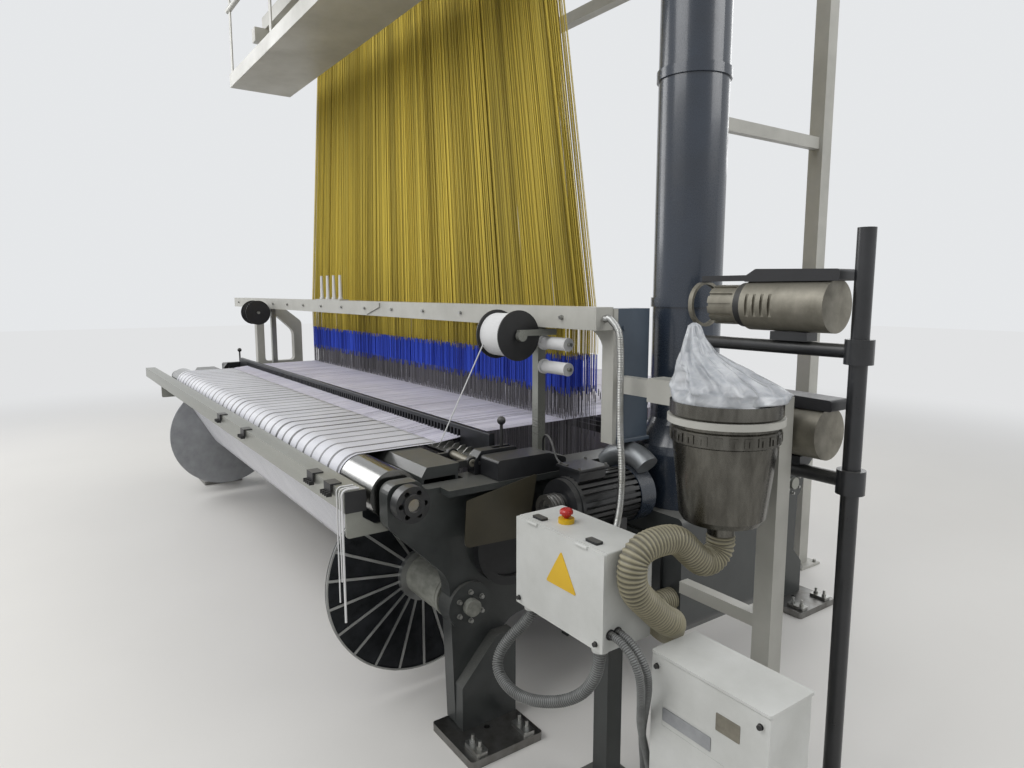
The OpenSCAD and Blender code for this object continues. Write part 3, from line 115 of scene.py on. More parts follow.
def add(tree, kind, inputs=None, **settings):
    """Adds a node. An input given as a node or a socket is linked, and any other value is set."""
    node = tree.nodes.new(kind)
    for key, value in settings.items():
        setattr(node, key, value)
    for key, value in (inputs or {}).items():
        if isinstance(value, bpy.types.Node):
            value = value.outputs[0]
        if isinstance(value, bpy.types.NodeSocket):
            tree.links.new(value, node.inputs[key])
        else:
            node.inputs[key].default_value = value
    return node


def empty_material(name):
    """A new material and its node tree, with no nodes in it."""
    material = bpy.data.materials.new(name)
    material.use_nodes = True
    material.node_tree.nodes.clear()
    return material, material.node_tree


def new_piece(name, data):
    """Puts a mesh or a curve into the scene."""
    piece = bpy.data.objects.new(name, data)
    scene.collection.objects.link(piece)
    return piece


def from_bmesh(name, bm, smooth=True):
    """Turns a bmesh into a piece, with its faces pointing outwards."""
    bmesh.ops.recalc_face_normals(bm, faces=bm.faces)
    mesh = bpy.data.meshes.new(name)
    bm.to_mesh(mesh)
    bm.free()
    for face in mesh.polygons:
        face.use_smooth = smooth
    return new_piece(name, mesh)


print("helpers ready, with a pale grey as a test:", [round(v, 3) for v in linear("d8d6cf")])

# %% [markdown]
# ## Light and floor
# The object is judged by its own colours, so the room is a pale floor and a pale backdrop under soft lamps.
# Light Path lets the world look pale to the camera and in reflections while it lights the loom less strongly.
# Far away the floor fades to the backdrop's tone, so that no dark line shows at the horizon.

# %% Floor
FADE_START = 3.6
FADE_END = 9.0

finish, tree = empty_material("pale studio floor")
where = add(tree, "ShaderNodeTexCoord").outputs["Object"]
speck = add(tree, "ShaderNodeTexNoise", {"Vector": where, "Scale": 1.3, "Detail": 4.0})
shade = add(tree, "ShaderNodeMix", {0: speck, 6: linear("d6d4d0"), 7: linear("dcdad6")}, data_type="RGBA")
body = add(tree, "ShaderNodeBsdfPrincipled", {"Base Color": shade.outputs[2], "Roughness": 0.55})
glow = add(tree, "ShaderNodeEmission", {"Color": linear("e2e3e4"), "Strength": 1.0})
far = add(tree, "ShaderNodeVectorMath", {0: where}, operation="LENGTH").outputs["Value"]
fade = add(tree, "ShaderNodeMapRange", {"Value": far, "From Min": FADE_START, "From Max": FADE_END},
           interpolation_type="SMOOTHSTEP")
ray = add(tree, "ShaderNodeLightPath").outputs
seen = add(tree, MATH, {0: ray["Is Camera Ray"], 1: ray["Is Glossy Ray"]}, operation="MAXIMUM")
fade = add(tree, MATH, {0: fade, 1: seen}, operation="MULTIPLY")
both = add(tree, "ShaderNodeMixShader", {0: fade, 1: body, 2: glow})
add(tree, "ShaderNodeOutputMaterial", {"Surface": both})

bm = bmesh.new()
bmesh.ops.create_grid(bm, x_segments=1, y_segments=1, size=30)
floor = from_bmesh("studio_floor", bm, False)
floor.data.transform(Matrix.Translation((0, 0, -0.0005)))
floor.data.materials.append(finish)
floor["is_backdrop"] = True
print("floor fades from", FADE_START, "to", FADE_END)

# %% World and lamps
WORLD_LIGHT = 0.50
WORLD_SEEN = 0.42

world = bpy.data.worlds.new("studio")
scene.world = world
world.use_nodes = True
sky = world.node_tree
sky.nodes.clear()
ray = add(sky, "ShaderNodeLightPath").outputs
seen = add(sky, MATH, {0: ray["Is Camera Ray"], 1: ray["Is Glossy Ray"]}, operation="MAXIMUM")
seen = add(sky, MATH, {0: seen, 1: ray["Is Transmission Ray"]}, operation="MAXIMUM")
strength = add(sky, MATH, {0: seen, 1: WORLD_SEEN, 2: WORLD_LIGHT}, operation="MULTIPLY_ADD")
backdrop = add(sky, "ShaderNodeBackground", {"Color": linear("eef0f2"), "Strength": strength})
add(sky, "ShaderNodeOutputWorld", {"Surface": backdrop})

# Each lamp: its place, the point that it faces, its size and its power in watts
LAMPS = {
    "key_lamp": ((1.5, -4.6, 5.2), (0.6, 0.0, 0.9), 4.0, 190.0),
    "drive_end_lamp": ((5.6, 1.6, 4.2), (2.2, -0.3, 0.9), 2.6, 90.0),
    "left_lamp": ((-5.0, -3.4, 3.6), (-1.5, 0.0, 1.0), 3.2, 110.0),
    "back_lamp": ((-0.5, 4.6, 4.4), (0.0, 0.5, 1.0), 3.6, 90.0),
}
for name, (at, target, size, power) in LAMPS.items():
    lamp = bpy.data.lights.new(name, "AREA")
    lamp.size = size
    lamp.energy = power
    holder = bpy.data.objects.new(name, lamp)
    holder.location = at
    holder.rotation_euler = (Vector(target) - Vector(at)).to_track_quat("-Z", "Y").to_euler()
    scene.collection.objects.link(holder)
print("lamps:", len(LAMPS))

# %% [markdown]
# ## Paints, metals and mouldings
# A weaving shed covers everything with lint and oil, so no surface is one flat colour.
# `coated` is the common recipe: a broad patchy tone, a fine grain for roughness, and a little bump.
# The sizes are real ones in millimetres, and the finest grain is drawn coarser than it is so that it shows.

# %% The common recipe
LINT = "a9a79f"
# Colour of the painted shade in the grooves of ribbed hoses
GROOVE_SHADE = "1d1c19"


def coated(name, code, patch, rough, metallic=0.0, patch_mm=240, grain_mm=3.0, bump_mm=0.05,
           spread=0.12, stretch=(1, 1, 1), coat=0.0, lint=0.0, groove=0.0):
    """A finish with a broad tone from code to patch, and a fine grain."""
    material, tree = empty_material(name)
    where = add(tree, "ShaderNodeTexCoord").outputs["Object"]
    run = add(tree, "ShaderNodeMapping", {"Vector": where, "Scale": stretch})
    broad = add(tree, "ShaderNodeTexNoise",
                {"Vector": run, "Scale": 1000 / patch_mm, "Detail": 6.0, "Roughness": 0.62})
    fine = add(tree, "ShaderNodeTexNoise",
               {"Vector": run, "Scale": 1000 / grain_mm, "Detail": 2.0, "Roughness": 0.5})
    share = add(tree, "ShaderNodeMapRange", {"Value": broad, "From Min": 0.32, "From Max": 0.68})
    tone = add(tree, "ShaderNodeMix", {0: share, 6: linear(code), 7: linear(patch)},
               data_type="RGBA").outputs[2]
    if lint:
        # Lint and dust settle where the surface faces up
        facing = add(tree, "ShaderNodeNewGeometry").outputs["Normal"]
        up = add(tree, "ShaderNodeSeparateXYZ", {0: facing}).outputs[2]
        up = add(tree, MATH, {0: up, 1: 0.0}, operation="MAXIMUM")
        dusty = add(tree, MATH, {0: up, 1: fine}, operation="MULTIPLY")
        dusty = add(tree, MATH, {0: dusty, 1: lint}, operation="MULTIPLY")
        tone = add(tree, "ShaderNodeMix", {0: dusty, 6: tone, 7: linear(LINT)}, data_type="RGBA").outputs[2]
    if groove:
        # Painted shade: the grooves between a hose's ribs are drawn darker, nearly black at their deepest
        deep = add(tree, "ShaderNodeAttribute", attribute_name="groove").outputs["Fac"]
        deep = add(tree, MATH, {0: deep, 1: groove}, operation="MULTIPLY")
        tone = add(tree, "ShaderNodeMix", {0: deep, 6: tone, 7: linear(GROOVE_SHADE)},
                   data_type="RGBA").outputs[2]
    both = add(tree, MATH, {0: fine, 1: broad}, operation="ADD")
    matt = add(tree, "ShaderNodeMapRange", {
        "Value": both, "From Min": 0.6, "From Max": 1.4,
        "To Min": max(0.04, rough - spread), "To Max": min(1.0, rough + spread)})
    relief = add(tree, "ShaderNodeBump", {"Strength": 0.6, "Distance": bump_mm / 1000, "Height": fine})
    body = add(tree, "ShaderNodeBsdfPrincipled", {
        "Base Color": tone, "Roughness": matt, "Metallic": metallic, "Normal": relief,
        "Coat Weight": coat, "Coat Roughness": 0.12})
    add(tree, "ShaderNodeOutputMaterial", {"Surface": body})
    return material


print("lint", LINT, "and painted groove shade", GROOVE_SHADE)

# %% Finishes of the metal and moulded parts
FINISH = {
    # Grey cast iron under dark machine enamel: oily, with lint on its ledges
    "casting": coated("dark enamel on cast iron", "262929", "373a39", 0.40, patch_mm=160, grain_mm=2.5,
                      bump_mm=0.18, coat=0.2, lint=0.35),
    # Steel left bare after turning: bright, with duller patches where it was handled
    "steel": coated("bare machined steel", "8d8d8b", "6f6c68", 0.36, 1.0, patch_mm=70),
    # Zinc plating: paler than bare steel and slightly cloudy
    "zinc": coated("zinc-plated steel", "b4b5b4", "96958f", 0.34, 1.0, patch_mm=60),
    # Extruded aluminium, etched and anodised: a soft sheen drawn out along its length
    "satin_alu": coated("satin anodised aluminium", "a6a7a0", "8e8f88", 0.33, 0.6, patch_mm=400, grain_mm=1.5,
                        bump_mm=0.01, stretch=(0.05, 1, 1)),
    # Moulded nylon: black with a fine matt grain
    "black_plastic": coated("black nylon moulding", "161617", "222223", 0.45, grain_mm=1.2, lint=0.3),
    # A ground and polished roller: long reflections and hardly any grain
    "polished_steel": coated("ground and polished steel", "a3a3a2", "7f7e7b", 0.20, 1.0, patch_mm=500,
                             grain_mm=1.5, bump_mm=0.004, spread=0.05, stretch=(0.04, 1, 1)),
    # Enamel on small castings and tubes: blacker and glossier than the frame's
    "black_paint": coated("black machine enamel", "131416", "212225", 0.36, patch_mm=120, coat=0.2,
                          lint=0.22),
    # Rolled aluminium as it comes from the mill: dull, with broad faint patches
    "grey_sheet": coated("rolled aluminium sheet", "a7a9ac", "8f9194", 0.40, 0.7, patch_mm=90, grain_mm=2.0,
                         bump_mm=0.03),
    # Steel blackened against rust: dark, with a gleam of metal
    "reed_steel": coated("blackened reed steel", "262729", "35363a", 0.38, 0.7, patch_mm=60),
    # Enamel baked on welded beams: warm grey and even, with dust on top
    "grey_paint": coated("warm grey stove enamel", "b6b5ae", "a3a29b", 0.42, patch_mm=300, lint=0.25),
    # Planed and varnished beech: brown, with its grain along the loom
    "board": coated("varnished beech", "6e5a3f", "584531", 0.45, patch_mm=80, stretch=(0.1, 2, 2)),
    # Enamel sprayed on sheet steel: slate blue and half matt
    "slate_paint": coated("slate blue enamel on sheet steel", "46525f", "3b4652", 0.40, patch_mm=260,
                          lint=0.2),
    # Enamel on rolled steel tube: blue-black under a glossy top coat
    "dark_blue_paint": coated("glossy blue-black enamel", "2a3340", "202731", 0.27, patch_mm=300, coat=0.35,
                              lint=0.2),
    # Powder baked on sheet steel: off-white with a fine grain like orange peel
    "light_paint": coated("off-white powder coat", "cdcecb", "bcbdb9", 0.46, patch_mm=220, grain_mm=1.8,
                          bump_mm=0.06, lint=0.1),
    # Moulded ABS: a clean strong colour and a smooth face
    "yellow_plastic": coated("yellow ABS moulding", "d9b013", "c79d0c", 0.38),
    # The same ABS from a polished mould, which makes it glossier
    "red_plastic": coated("red ABS moulding", "b32019", "9c1914", 0.30),
    # Brushed stainless steel, darkened partly by oil and partly as a painted reflection of a dark room:
    # streaks that run down its wall
    "stainless": coated("brushed stainless steel", "6f6d67", "4c4a45", 0.27, 1.0, patch_mm=45, grain_mm=1.0,
                        bump_mm=0.02, stretch=(1, 1, 0.25)),
    # Die-cast aluminium worn by hands: brownish patches and a dull gleam
    "feeder_alu": coated("worn die-cast aluminium", "8c887c", "716d62", 0.44, 0.6, patch_mm=60, lint=0.3),
    # Vinyl on a wire spiral: matt khaki, with painted shade between its ribs
    "khaki_hose": coated("khaki vinyl hose", "a39c82", "8a846b", 0.50, patch_mm=90, lint=0.2, groove=0.8),
    # Corrugated nylon: grey, with painted shade that makes its grooves nearly black
    "grey_conduit": coated("grey nylon conduit", "8a8c8b", "6c6e6d", 0.46, patch_mm=60, lint=0.1, groove=0.9),
    # Rubber strip set with grit, wound round the cloth roll so that it grips the cloth: light, rough and matt
    "grip_cover": coated("light gritty roller covering", "8f9088", "6f7069", 0.7, patch_mm=26, grain_mm=3.5,
                         bump_mm=0.7, stretch=(0.5, 1, 1)),
}
print("finishes:", len(FINISH))

# %% [markdown]
# ## Yarn, cord and cloth
# Harness cords are dyed so that the weaver can tell their parts: mustard yellow on top and blue below.
# Each cord gets its own shade from an attribute called tint, which Geometry Nodes stores on every strand.
# The satin cloth has thin dark stripes along its length. Its shader reads the distance across the loom
# for the stripes, and the height for the plain part under the roller.

# %% Yarn finish
def dyed(name, dark, light, rough=0.75, sheen=0.25):
    """A yarn finish whose shade runs from dark to light with each strand's tint."""
    material, tree = empty_material(name)
    where = add(tree, "ShaderNodeTexCoord").outputs["Object"]
    tint = add(tree, "ShaderNodeAttribute", attribute_name="tint").outputs["Fac"]
    # The twist of a yarn is under 1 mm long. It is drawn about 4 mm long so that it shows.
    twist = add(tree, "ShaderNodeTexNoise", {"Vector": where, "Scale": 260.0, "Detail": 2.0})
    # Whole bunches hang a shade lighter or darker than their neighbours
    spot = add(tree, "ShaderNodeVectorMath", {0: where, 1: (5.0, 5.0, 0.35)}, operation="MULTIPLY")
    bunch = add(tree, "ShaderNodeTexNoise", {"Vector": spot, "Scale": 1.0, "Detail": 3.0})
    bunch = add(tree, MATH, {0: bunch, 1: 0.4}, operation="SUBTRACT")
    share = add(tree, MATH, {0: twist, 1: 0.2}, operation="MULTIPLY")
    share = add(tree, MATH, {0: tint, 1: 0.62, 2: share}, operation="MULTIPLY_ADD")
    share = add(tree, MATH, {0: bunch, 1: 0.9, 2: share}, operation="MULTIPLY_ADD")
    tone = add(tree, "ShaderNodeMix", {0: share, 6: linear(dark), 7: linear(light)},
               data_type="RGBA").outputs[2]
    relief = add(tree, "ShaderNodeBump", {"Strength": 0.5, "Distance": 0.0003, "Height": twist})
    body = add(tree, "ShaderNodeBsdfPrincipled", {
        "Base Color": tone, "Roughness": rough, "Normal": relief,
        "Sheen Weight": sheen, "Sheen Roughness": 0.4})
    add(tree, "ShaderNodeOutputMaterial", {"Surface": body})
    return material


# Spun cotton: white, soft and matt
FINISH["white_yarn"] = dyed("white spun yarn", "cfcfd0", "f0f0ee")
# Braided and dyed cords: no two are quite the same shade
FINISH["yellow_cord"] = dyed("mustard harness cord", "76661a", "f0d85a", 0.7)
FINISH["blue_cord"] = dyed("blue harness cord", "0f1c86", "4a70ff", 0.7)
# Steel wires and dark cords mixed: from near black to grey, with a little gloss
FINISH["heddle_wire"] = dyed("heddle wire and cord", "2c2b2c", "97949a", 0.45, 0.0)
# Sized warp yarn: pale lilac grey and smoother than spun cotton
FINISH["warp_yarn"] = dyed("pale warp yarn", "b9b6c8", "e6e4ee", 0.55)
print("finishes with the yarns:", len(FINISH))

# %% Cloth finish
STRIPE_PITCH = 0.0935
STRIPE_SHARE = 0.22
# Real threads lie 0.3 mm apart. They are drawn 3 mm apart so that the rib shows.
RIB_PITCH = 0.003
# Below this height, under the roller, the cloth shows its plain face
PLAIN_BELOW = 0.770
STRIPED_ABOVE = 0.800


def satin():
    """White satin cloth with a thin dark stripe at every pitch, and a fine rib."""
    material, tree = empty_material("striped white satin")
    where = add(tree, "ShaderNodeTexCoord").outputs["Object"]
    place = add(tree, "ShaderNodeSeparateXYZ", {0: where}).outputs
    # Ten metres are added so that the count of stripes is never below zero
    count = add(tree, MATH, {0: place[0], 1: 10.0}, operation="ADD")
    count = add(tree, MATH, {0: count, 1: STRIPE_PITCH}, operation="DIVIDE")
    # Each stripe has its own weight: some are full, and some are a thin faint line
    number = add(tree, MATH, {0: count}, operation="FLOOR")
    weight = add(tree, "ShaderNodeTexWhiteNoise", {"W": number}, noise_dimensions="1D")
    share = add(tree, MATH, {0: weight, 1: 0.5 * STRIPE_SHARE, 2: 0.75 * STRIPE_SHARE},
                operation="MULTIPLY_ADD")
    across = add(tree, MATH, {0: count}, operation="FRACT")
    stripe = add(tree, MATH, {0: across, 1: share}, operation="LESS_THAN")
    strong = add(tree, MATH, {0: weight, 1: 0.22, 2: 0.76}, operation="MULTIPLY_ADD")
    stripe = add(tree, MATH, {0: stripe, 1: strong}, operation="MULTIPLY")
    above = add(tree, "ShaderNodeMapRange", {
        "Value": place[2], "From Min": PLAIN_BELOW, "From Max": STRIPED_ABOVE, "To Min": 0.06, "To Max": 1.0})
    stripe = add(tree, MATH, {0: stripe, 1: above}, operation="MULTIPLY")
    rib = add(tree, MATH, {0: place[0], 1: 2 * math.pi / RIB_PITCH}, operation="MULTIPLY")
    rib = add(tree, MATH, {0: rib}, operation="SINE")
    cloud = add(tree, "ShaderNodeTexNoise", {"Vector": where, "Scale": 6.0, "Detail": 4.0})
    white = add(tree, "ShaderNodeMix", {0: cloud, 6: linear("c3c4cc"), 7: linear("e4e4ea")},
                data_type="RGBA").outputs[2]
    tone = add(tree, "ShaderNodeMix", {0: stripe, 6: white, 7: linear("17171c")},
               data_type="RGBA").outputs[2]
    # Folds run along the loom's warp, so they are five times as long as they are wide
    pull = add(tree, "ShaderNodeVectorMath", {0: where, 1: (26.0, 5.0, 5.0)}, operation="MULTIPLY")
    crease = add(tree, "ShaderNodeTexNoise", {"Vector": pull, "Scale": 1.0, "Detail": 3.0})
    folds = add(tree, "ShaderNodeBump", {"Strength": 0.6, "Distance": 0.006, "Height": crease})
    relief = add(tree, "ShaderNodeBump", {"Strength": 0.35, "Distance": 0.0004, "Height": rib,
                                          "Normal": folds})
    body = add(tree, "ShaderNodeBsdfPrincipled", {
        "Base Color": tone, "Roughness": 0.34, "Normal": relief, "Sheen Weight": 0.3,
        "Sheen Roughness": 0.35})
    add(tree, "ShaderNodeOutputMaterial", {"Surface": body})
    return material


FINISH["white_fabric"] = satin()
print("stripes", STRIPE_PITCH, "apart")

# %% Film finish
def film():
    """Thin blown polythene film: milky and partly clear, with painted shade in its creases and painted
    highlights on their ridges.
    """
    material, tree = empty_material("milky polythene film")
    where = add(tree, "ShaderNodeTexCoord").outputs["Object"]
    crease = add(tree, "ShaderNodeTexNoise", {"Vector": where, "Scale": 28.0, "Detail": 5.0,
                                              "Distortion": 1.4})
    # Sharp creases run along the edges of irregular cells, about 75 mm wide
    edge = add(tree, "ShaderNodeTexVoronoi", {"Vector": where, "Scale": 13.0}, feature="DISTANCE_TO_EDGE")
    edge = add(tree, MATH, {0: edge, 1: 1.1}, operation="MULTIPLY")
    edge = add(tree, MATH, {0: edge, 1: 0.5}, operation="MINIMUM")
    crease = add(tree, MATH, {0: crease, 1: edge}, operation="ADD")
    relief = add(tree, "ShaderNodeBump", {"Strength": 0.55, "Distance": 0.006, "Height": crease})
    # Painted shade and highlight: the film's colour runs from grey in the hollows of its creases to near
    # white on their ridges
    tone = add(tree, "ShaderNodeMix", {0: crease, 6: linear("a9afb6"), 7: linear("eef0f3")},
               data_type="RGBA").outputs[2]
    body = add(tree, "ShaderNodeBsdfPrincipled", {
        "Base Color": tone, "Roughness": 0.20, "Normal": relief, "Transmission Weight": 0.3, "Alpha": 0.72})
    add(tree, "ShaderNodeOutputMaterial", {"Surface": body})
    return material


FINISH["film"] = film()
print("all finishes:", len(FINISH))

# %% [markdown]
# ## Pieces with two finishes
# Some solids carry a second finish on part of their surface, such as bright ribs on a dark pressed disc.
# The solid stays whole: a test on the place in space tells the shader where the second finish begins.

# %% Finishes that change with the place
def masked(material, boxes, code, worn, metal=None):
    """Recolours what lies in any of the boxes. A box is a list of tests (axis, sign, limit)."""
    tree = material.node_tree
    body = next(n for n in tree.nodes if n.type == "BSDF_PRINCIPLED")
    tone = body.inputs["Base Color"].links[0].from_socket
    where = add(tree, "ShaderNodeTexCoord").outputs["Object"]
    place = add(tree, "ShaderNodeSeparateXYZ", {0: where}).outputs
    inside = None
    for tests in boxes:
        here = None
        for axis, sign, limit in tests:
            side = "GREATER_THAN" if sign > 0 else "LESS_THAN"
            test = add(tree, MATH, {0: place["XYZ".index(axis)], 1: limit}, operation=side)
            here = add(tree, MATH, {0: here, 1: test}, operation="MULTIPLY") if here else test
        inside = add(tree, MATH, {0: inside, 1: here}, operation="MAXIMUM") if inside else here
    cloud = add(tree, "ShaderNodeTexNoise", {"Vector": where, "Scale": 14.0, "Detail": 4.0})
    fresh = add(tree, "ShaderNodeMix", {0: cloud, 6: linear(code), 7: linear(worn)}, data_type="RGBA")
    mixed = add(tree, "ShaderNodeMix", {0: inside, 6: tone, 7: fresh.outputs[2]}, data_type="RGBA")
    tree.links.new(mixed.outputs[2], body.inputs["Base Color"])
    if metal is not None:
        base = body.inputs["Metallic"].default_value
        shine = add(tree, MATH, {0: inside, 1: metal - base, 2: base}, operation="MULTIPLY_ADD")
        tree.links.new(shine.outputs[0], body.inputs["Metallic"])
    return material


SPECIAL = {
    # Pressed disc: dark oxidised sheet whose ribs and rim are worn bright
    "roll_disc_right": masked(coated("dark pressed sheet", "222426", "34363a", 0.36, 0.85, patch_mm=70),
                              [[("X", 1, 1.6355)]], "c4c5c4", "7d7e7c"),
    # Sley: black enamel, rubbed bright at the race near the drive end
    "sley": masked(coated("enamel of the sley", "111214", "1f2023", 0.36, patch_mm=120, coat=0.2, lint=0.25),
                   [[("X", 1, 1.40), ("Y", -1, -0.772), ("Z", 1, 0.926)]], "b4b4b0", "77776f", 0.9),
    # Guards: black enamel, with an olive-brown plate over the drive end's front
    "rapier_guards": masked(coated("enamel of the guards", "131416", "222326", 0.38, patch_mm=120, lint=0.22),
                            [[("X", 1, 2.0398)]], "38352b", "4b4638"),
    # End cases: dark enamel, with a satin grey air duct that rises behind the motor
    "end_cases": masked(coated("enamel of the end cases", "2b2e2f", "3a3d3c", 0.42, patch_mm=160, coat=0.15,
                               lint=0.5), [[("Z", 1, 0.9062)]], "8f9294", "6d7072", 0.7),
    # Weft feeders: worn aluminium cases under black covers
    "feeder_cases": masked(coated("feeder enamel", "8c887c", "716d62", 0.44, 0.6, patch_mm=60, lint=0.3),
                           [[("Z", 1, 1.5805)], [("Z", 1, 1.2195), ("Z", -1, 1.30)]],
                           "111113", "1d1d20", 0.0),
}

for entry in frame["record"]["subparts"]:
    holder = nodes[entry["node"]].data.materials
    holder.clear()
    holder.append(SPECIAL.get(entry["node"], FINISH[entry["material_slot"]]))

# %% [markdown]
# ## Hoses and conduits
# Each is a fixed length of something flexible, made once along a smooth line through a few points.
# Those points are the same as in the solid model, so the dressed hose lies where its solid lies.
# Geometry Nodes sweep a round section along the line and let its radius rise and fall, which gives the ribs.

# %% Helpers for trees and finished pieces
def start_tree(name, inputs):
    """A new Geometry Nodes tree with named inputs. Gives the tree and the sockets of its inputs."""
    tree = bpy.data.node_groups.new(name, "GeometryNodeTree")
    tree.interface.new_socket("Geometry", in_out="INPUT", socket_type="NodeSocketGeometry")
    tree.interface.new_socket("Material", in_out="INPUT", socket_type="NodeSocketMaterial")
    tree.interface.new_socket("Geometry", in_out="OUTPUT", socket_type="NodeSocketGeometry")
    for key, value in inputs.items():
        kind = "NodeSocketInt" if isinstance(value, int) else "NodeSocketFloat"
        tree.interface.new_socket(key, in_out="INPUT", socket_type=kind).default_value = value
    return tree, add(tree, "NodeGroupInput").outputs


def end_tree(tree, given, shape):
    """Ends a tree in real geometry with its material, because the export drops instances."""
    real = add(tree, "GeometryNodeRealizeInstances", {"Geometry": shape})
    finished = add(tree, "GeometryNodeSetMaterial", {"Geometry": real, "Material": given["Material"]})
    add(tree, "NodeGroupOutput", {0: finished})


def grow(name, tree, slot, values, data=None):
    """Runs a tree on a mesh or a curve and gives its result as a plain mesh piece."""
    base = new_piece(name + "_base", data or bpy.data.meshes.new(name + "_base"))
    modifier = base.modifiers.new("grow", "NODES")
    modifier.node_group = tree
    values = {"Material": FINISH[slot], **values}
    for item in tree.interface.items_tree:
        if item.item_type == "SOCKET" and item.in_out == "INPUT" and item.name in values:
            modifier[item.identifier] = values[item.name]
    base.update_tag()
    graph = bpy.context.evaluated_depsgraph_get()
    result = bpy.data.meshes.new_from_object(base.evaluated_get(graph), depsgraph=graph)
    result.name = name
    bpy.data.objects.remove(base)
    print(name, "faces:", len(result.polygons))
    return new_piece(name, result)


def hand_over(piece, slot, body="frame", replaces=()):
    """Gives a piece the finish of its slot, puts it on its body, and hides the solids that it stands for."""
    piece.data.materials.clear()
    piece.data.materials.append(FINISH[slot])
    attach(piece, body)
    if replaces:
        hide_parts(*replaces)


# %% A tree that sweeps a ribbed hose along a line
ribbed, given = start_tree("ribbed hose", {
    "Radius": 0.04, "Rib Height": 0.003, "Rib Pitch": 0.01, "Sides": 16, "Slices": 4})
slice_length = add(ribbed, MATH, {0: given["Rib Pitch"], 1: given["Slices"]}, operation="DIVIDE")
line = add(ribbed, "GeometryNodeResampleCurve", {"Curve": given["Geometry"], "Length": slice_length},
           mode="LENGTH")
along = add(ribbed, "GeometryNodeSplineParameter").outputs["Length"]
ribs = add(ribbed, MATH, {0: along, 1: given["Rib Pitch"]}, operation="DIVIDE")
wave = add(ribbed, MATH, {0: ribs, 1: 2 * math.pi}, operation="MULTIPLY")
wave = add(ribbed, MATH, {0: wave}, operation="COSINE")
deep = add(ribbed, MATH, {0: wave, 1: 0.5, 2: 0.5}, operation="MULTIPLY_ADD")
dip = add(ribbed, MATH, {0: deep, 1: given["Rib Height"]}, operation="MULTIPLY")
girth = add(ribbed, MATH, {0: given["Radius"], 1: dip}, operation="SUBTRACT")
# The depth of each groove is kept for the painted shade in the grooves
line = add(ribbed, "GeometryNodeStoreNamedAttribute", {"Geometry": line, "Name": "groove", "Value": deep},
           data_type="FLOAT", domain="POINT")
section = add(ribbed, "GeometryNodeCurvePrimitiveCircle", {"Resolution": given["Sides"], "Radius": 1.0})
swept = add(ribbed, "GeometryNodeCurveToMesh", {
    "Curve": line, "Profile Curve": section, "Scale": girth, "Fill Caps": True})
end_tree(ribbed, given, swept)
print("ribbed tree nodes:", len(ribbed.nodes))

# %% Lines through the solid model's own points
def smooth_line(points, steps=3):
    """A smooth line through points in millimetres, as the solid model draws it, in metres."""
    p = [Vector(q) / 1000 for q in points]
    made = []
    for i in range(len(p) - 1):
        a, b, c, d = p[max(0, i - 1)], p[i], p[i + 1], p[min(len(p) - 1, i + 2)]
        for k in range(steps):
            t = k / steps
            made.append(0.5 * (2 * b + (c - a) * t + (2 * a - 5 * b + 4 * c - d) * t * t
                               + (3 * b - a - 3 * c + d) * t ** 3))
    return made + [p[-1]]


def length_of(points):
    """Length of a line of points."""
    return sum((b - a).length for a, b in zip(points, points[1:]))


print("a test line 1000 mm long:", length_of(smooth_line([(0, 0, 0), (1000, 0, 0)])), "m")

# %% Facts and routes of the hoses and cords
CORDS = {
    "bucket_hose": dict(
        width=0.080, rib=0.0045, pitch=0.0105, sides=20, slot="khaki_hose", stiffness="stiff",
        replaced=["bucket_hose"], points=[
            (2763, -599, 881.7), (2763, -599, 866), (2763, -599, 850), (2762, -607, 832), (2761, -621, 819),
            (2760, -640, 812), (2758, -662, 813), (2757, -684, 824), (2755, -716, 852), (2752, -746, 880),
            (2750, -769, 895), (2747, -795, 901), (2745, -825, 902), (2743, -856, 900), (2740, -886, 891),
            (2738, -906, 873), (2738, -915, 847), (2738, -916, 818), (2738, -907, 789), (2737, -888, 764),
            (2735, -850, 727), (2734, -808, 688), (2732, -774, 662), (2714, -736, 640), (2678, -690, 606),
            (2630, -640, 556), (2570, -585, 508), (2500, -530, 468), (2430, -484, 446), (2376, -446, 444),
            (2350, -408, 454), (2344, -376, 460), (2344, -348, 460), (2344, -320.3, 460)]),
    "box_conduit": dict(
        width=0.035, rib=0.0032, pitch=0.0068, sides=14, slot="grey_conduit", stiffness="medium",
        replaced=["box_conduit"], points=[
            (2328, -930, 604.7), (2328, -930, 588), (2328, -930, 572), (2321, -941, 548), (2306, -960, 520),
            (2288, -988, 484), (2276, -1014, 442), (2284, -1030, 406), (2324, -1036, 378), (2390, -1032, 366),
            (2464, -1012, 374), (2540, -981, 402), (2594, -954, 444), (2624, -938, 496), (2635, -932, 540),
            (2638, -930, 570), (2638, -930, 588), (2638, -930, 604.7)]),
    "spiral_conduit": dict(
        width=0.026, rib=0.0022, pitch=0.0055, sides=12, slot="zinc", stiffness="medium",
        replaced=["spiral_conduit"], points=[
            (2165.6, -500, 1458), (2178, -500, 1458), (2192, -500, 1458), (2240, -504, 1418),
            (2256, -508, 1330), (2262, -513, 1200), (2272, -518, 1070), (2292, -526, 950), (2318, -556, 850),
            (2356, -610, 782), (2406, -684, 752), (2440, -750, 746), (2440, -772, 746), (2440, -792.7, 746)]),
}
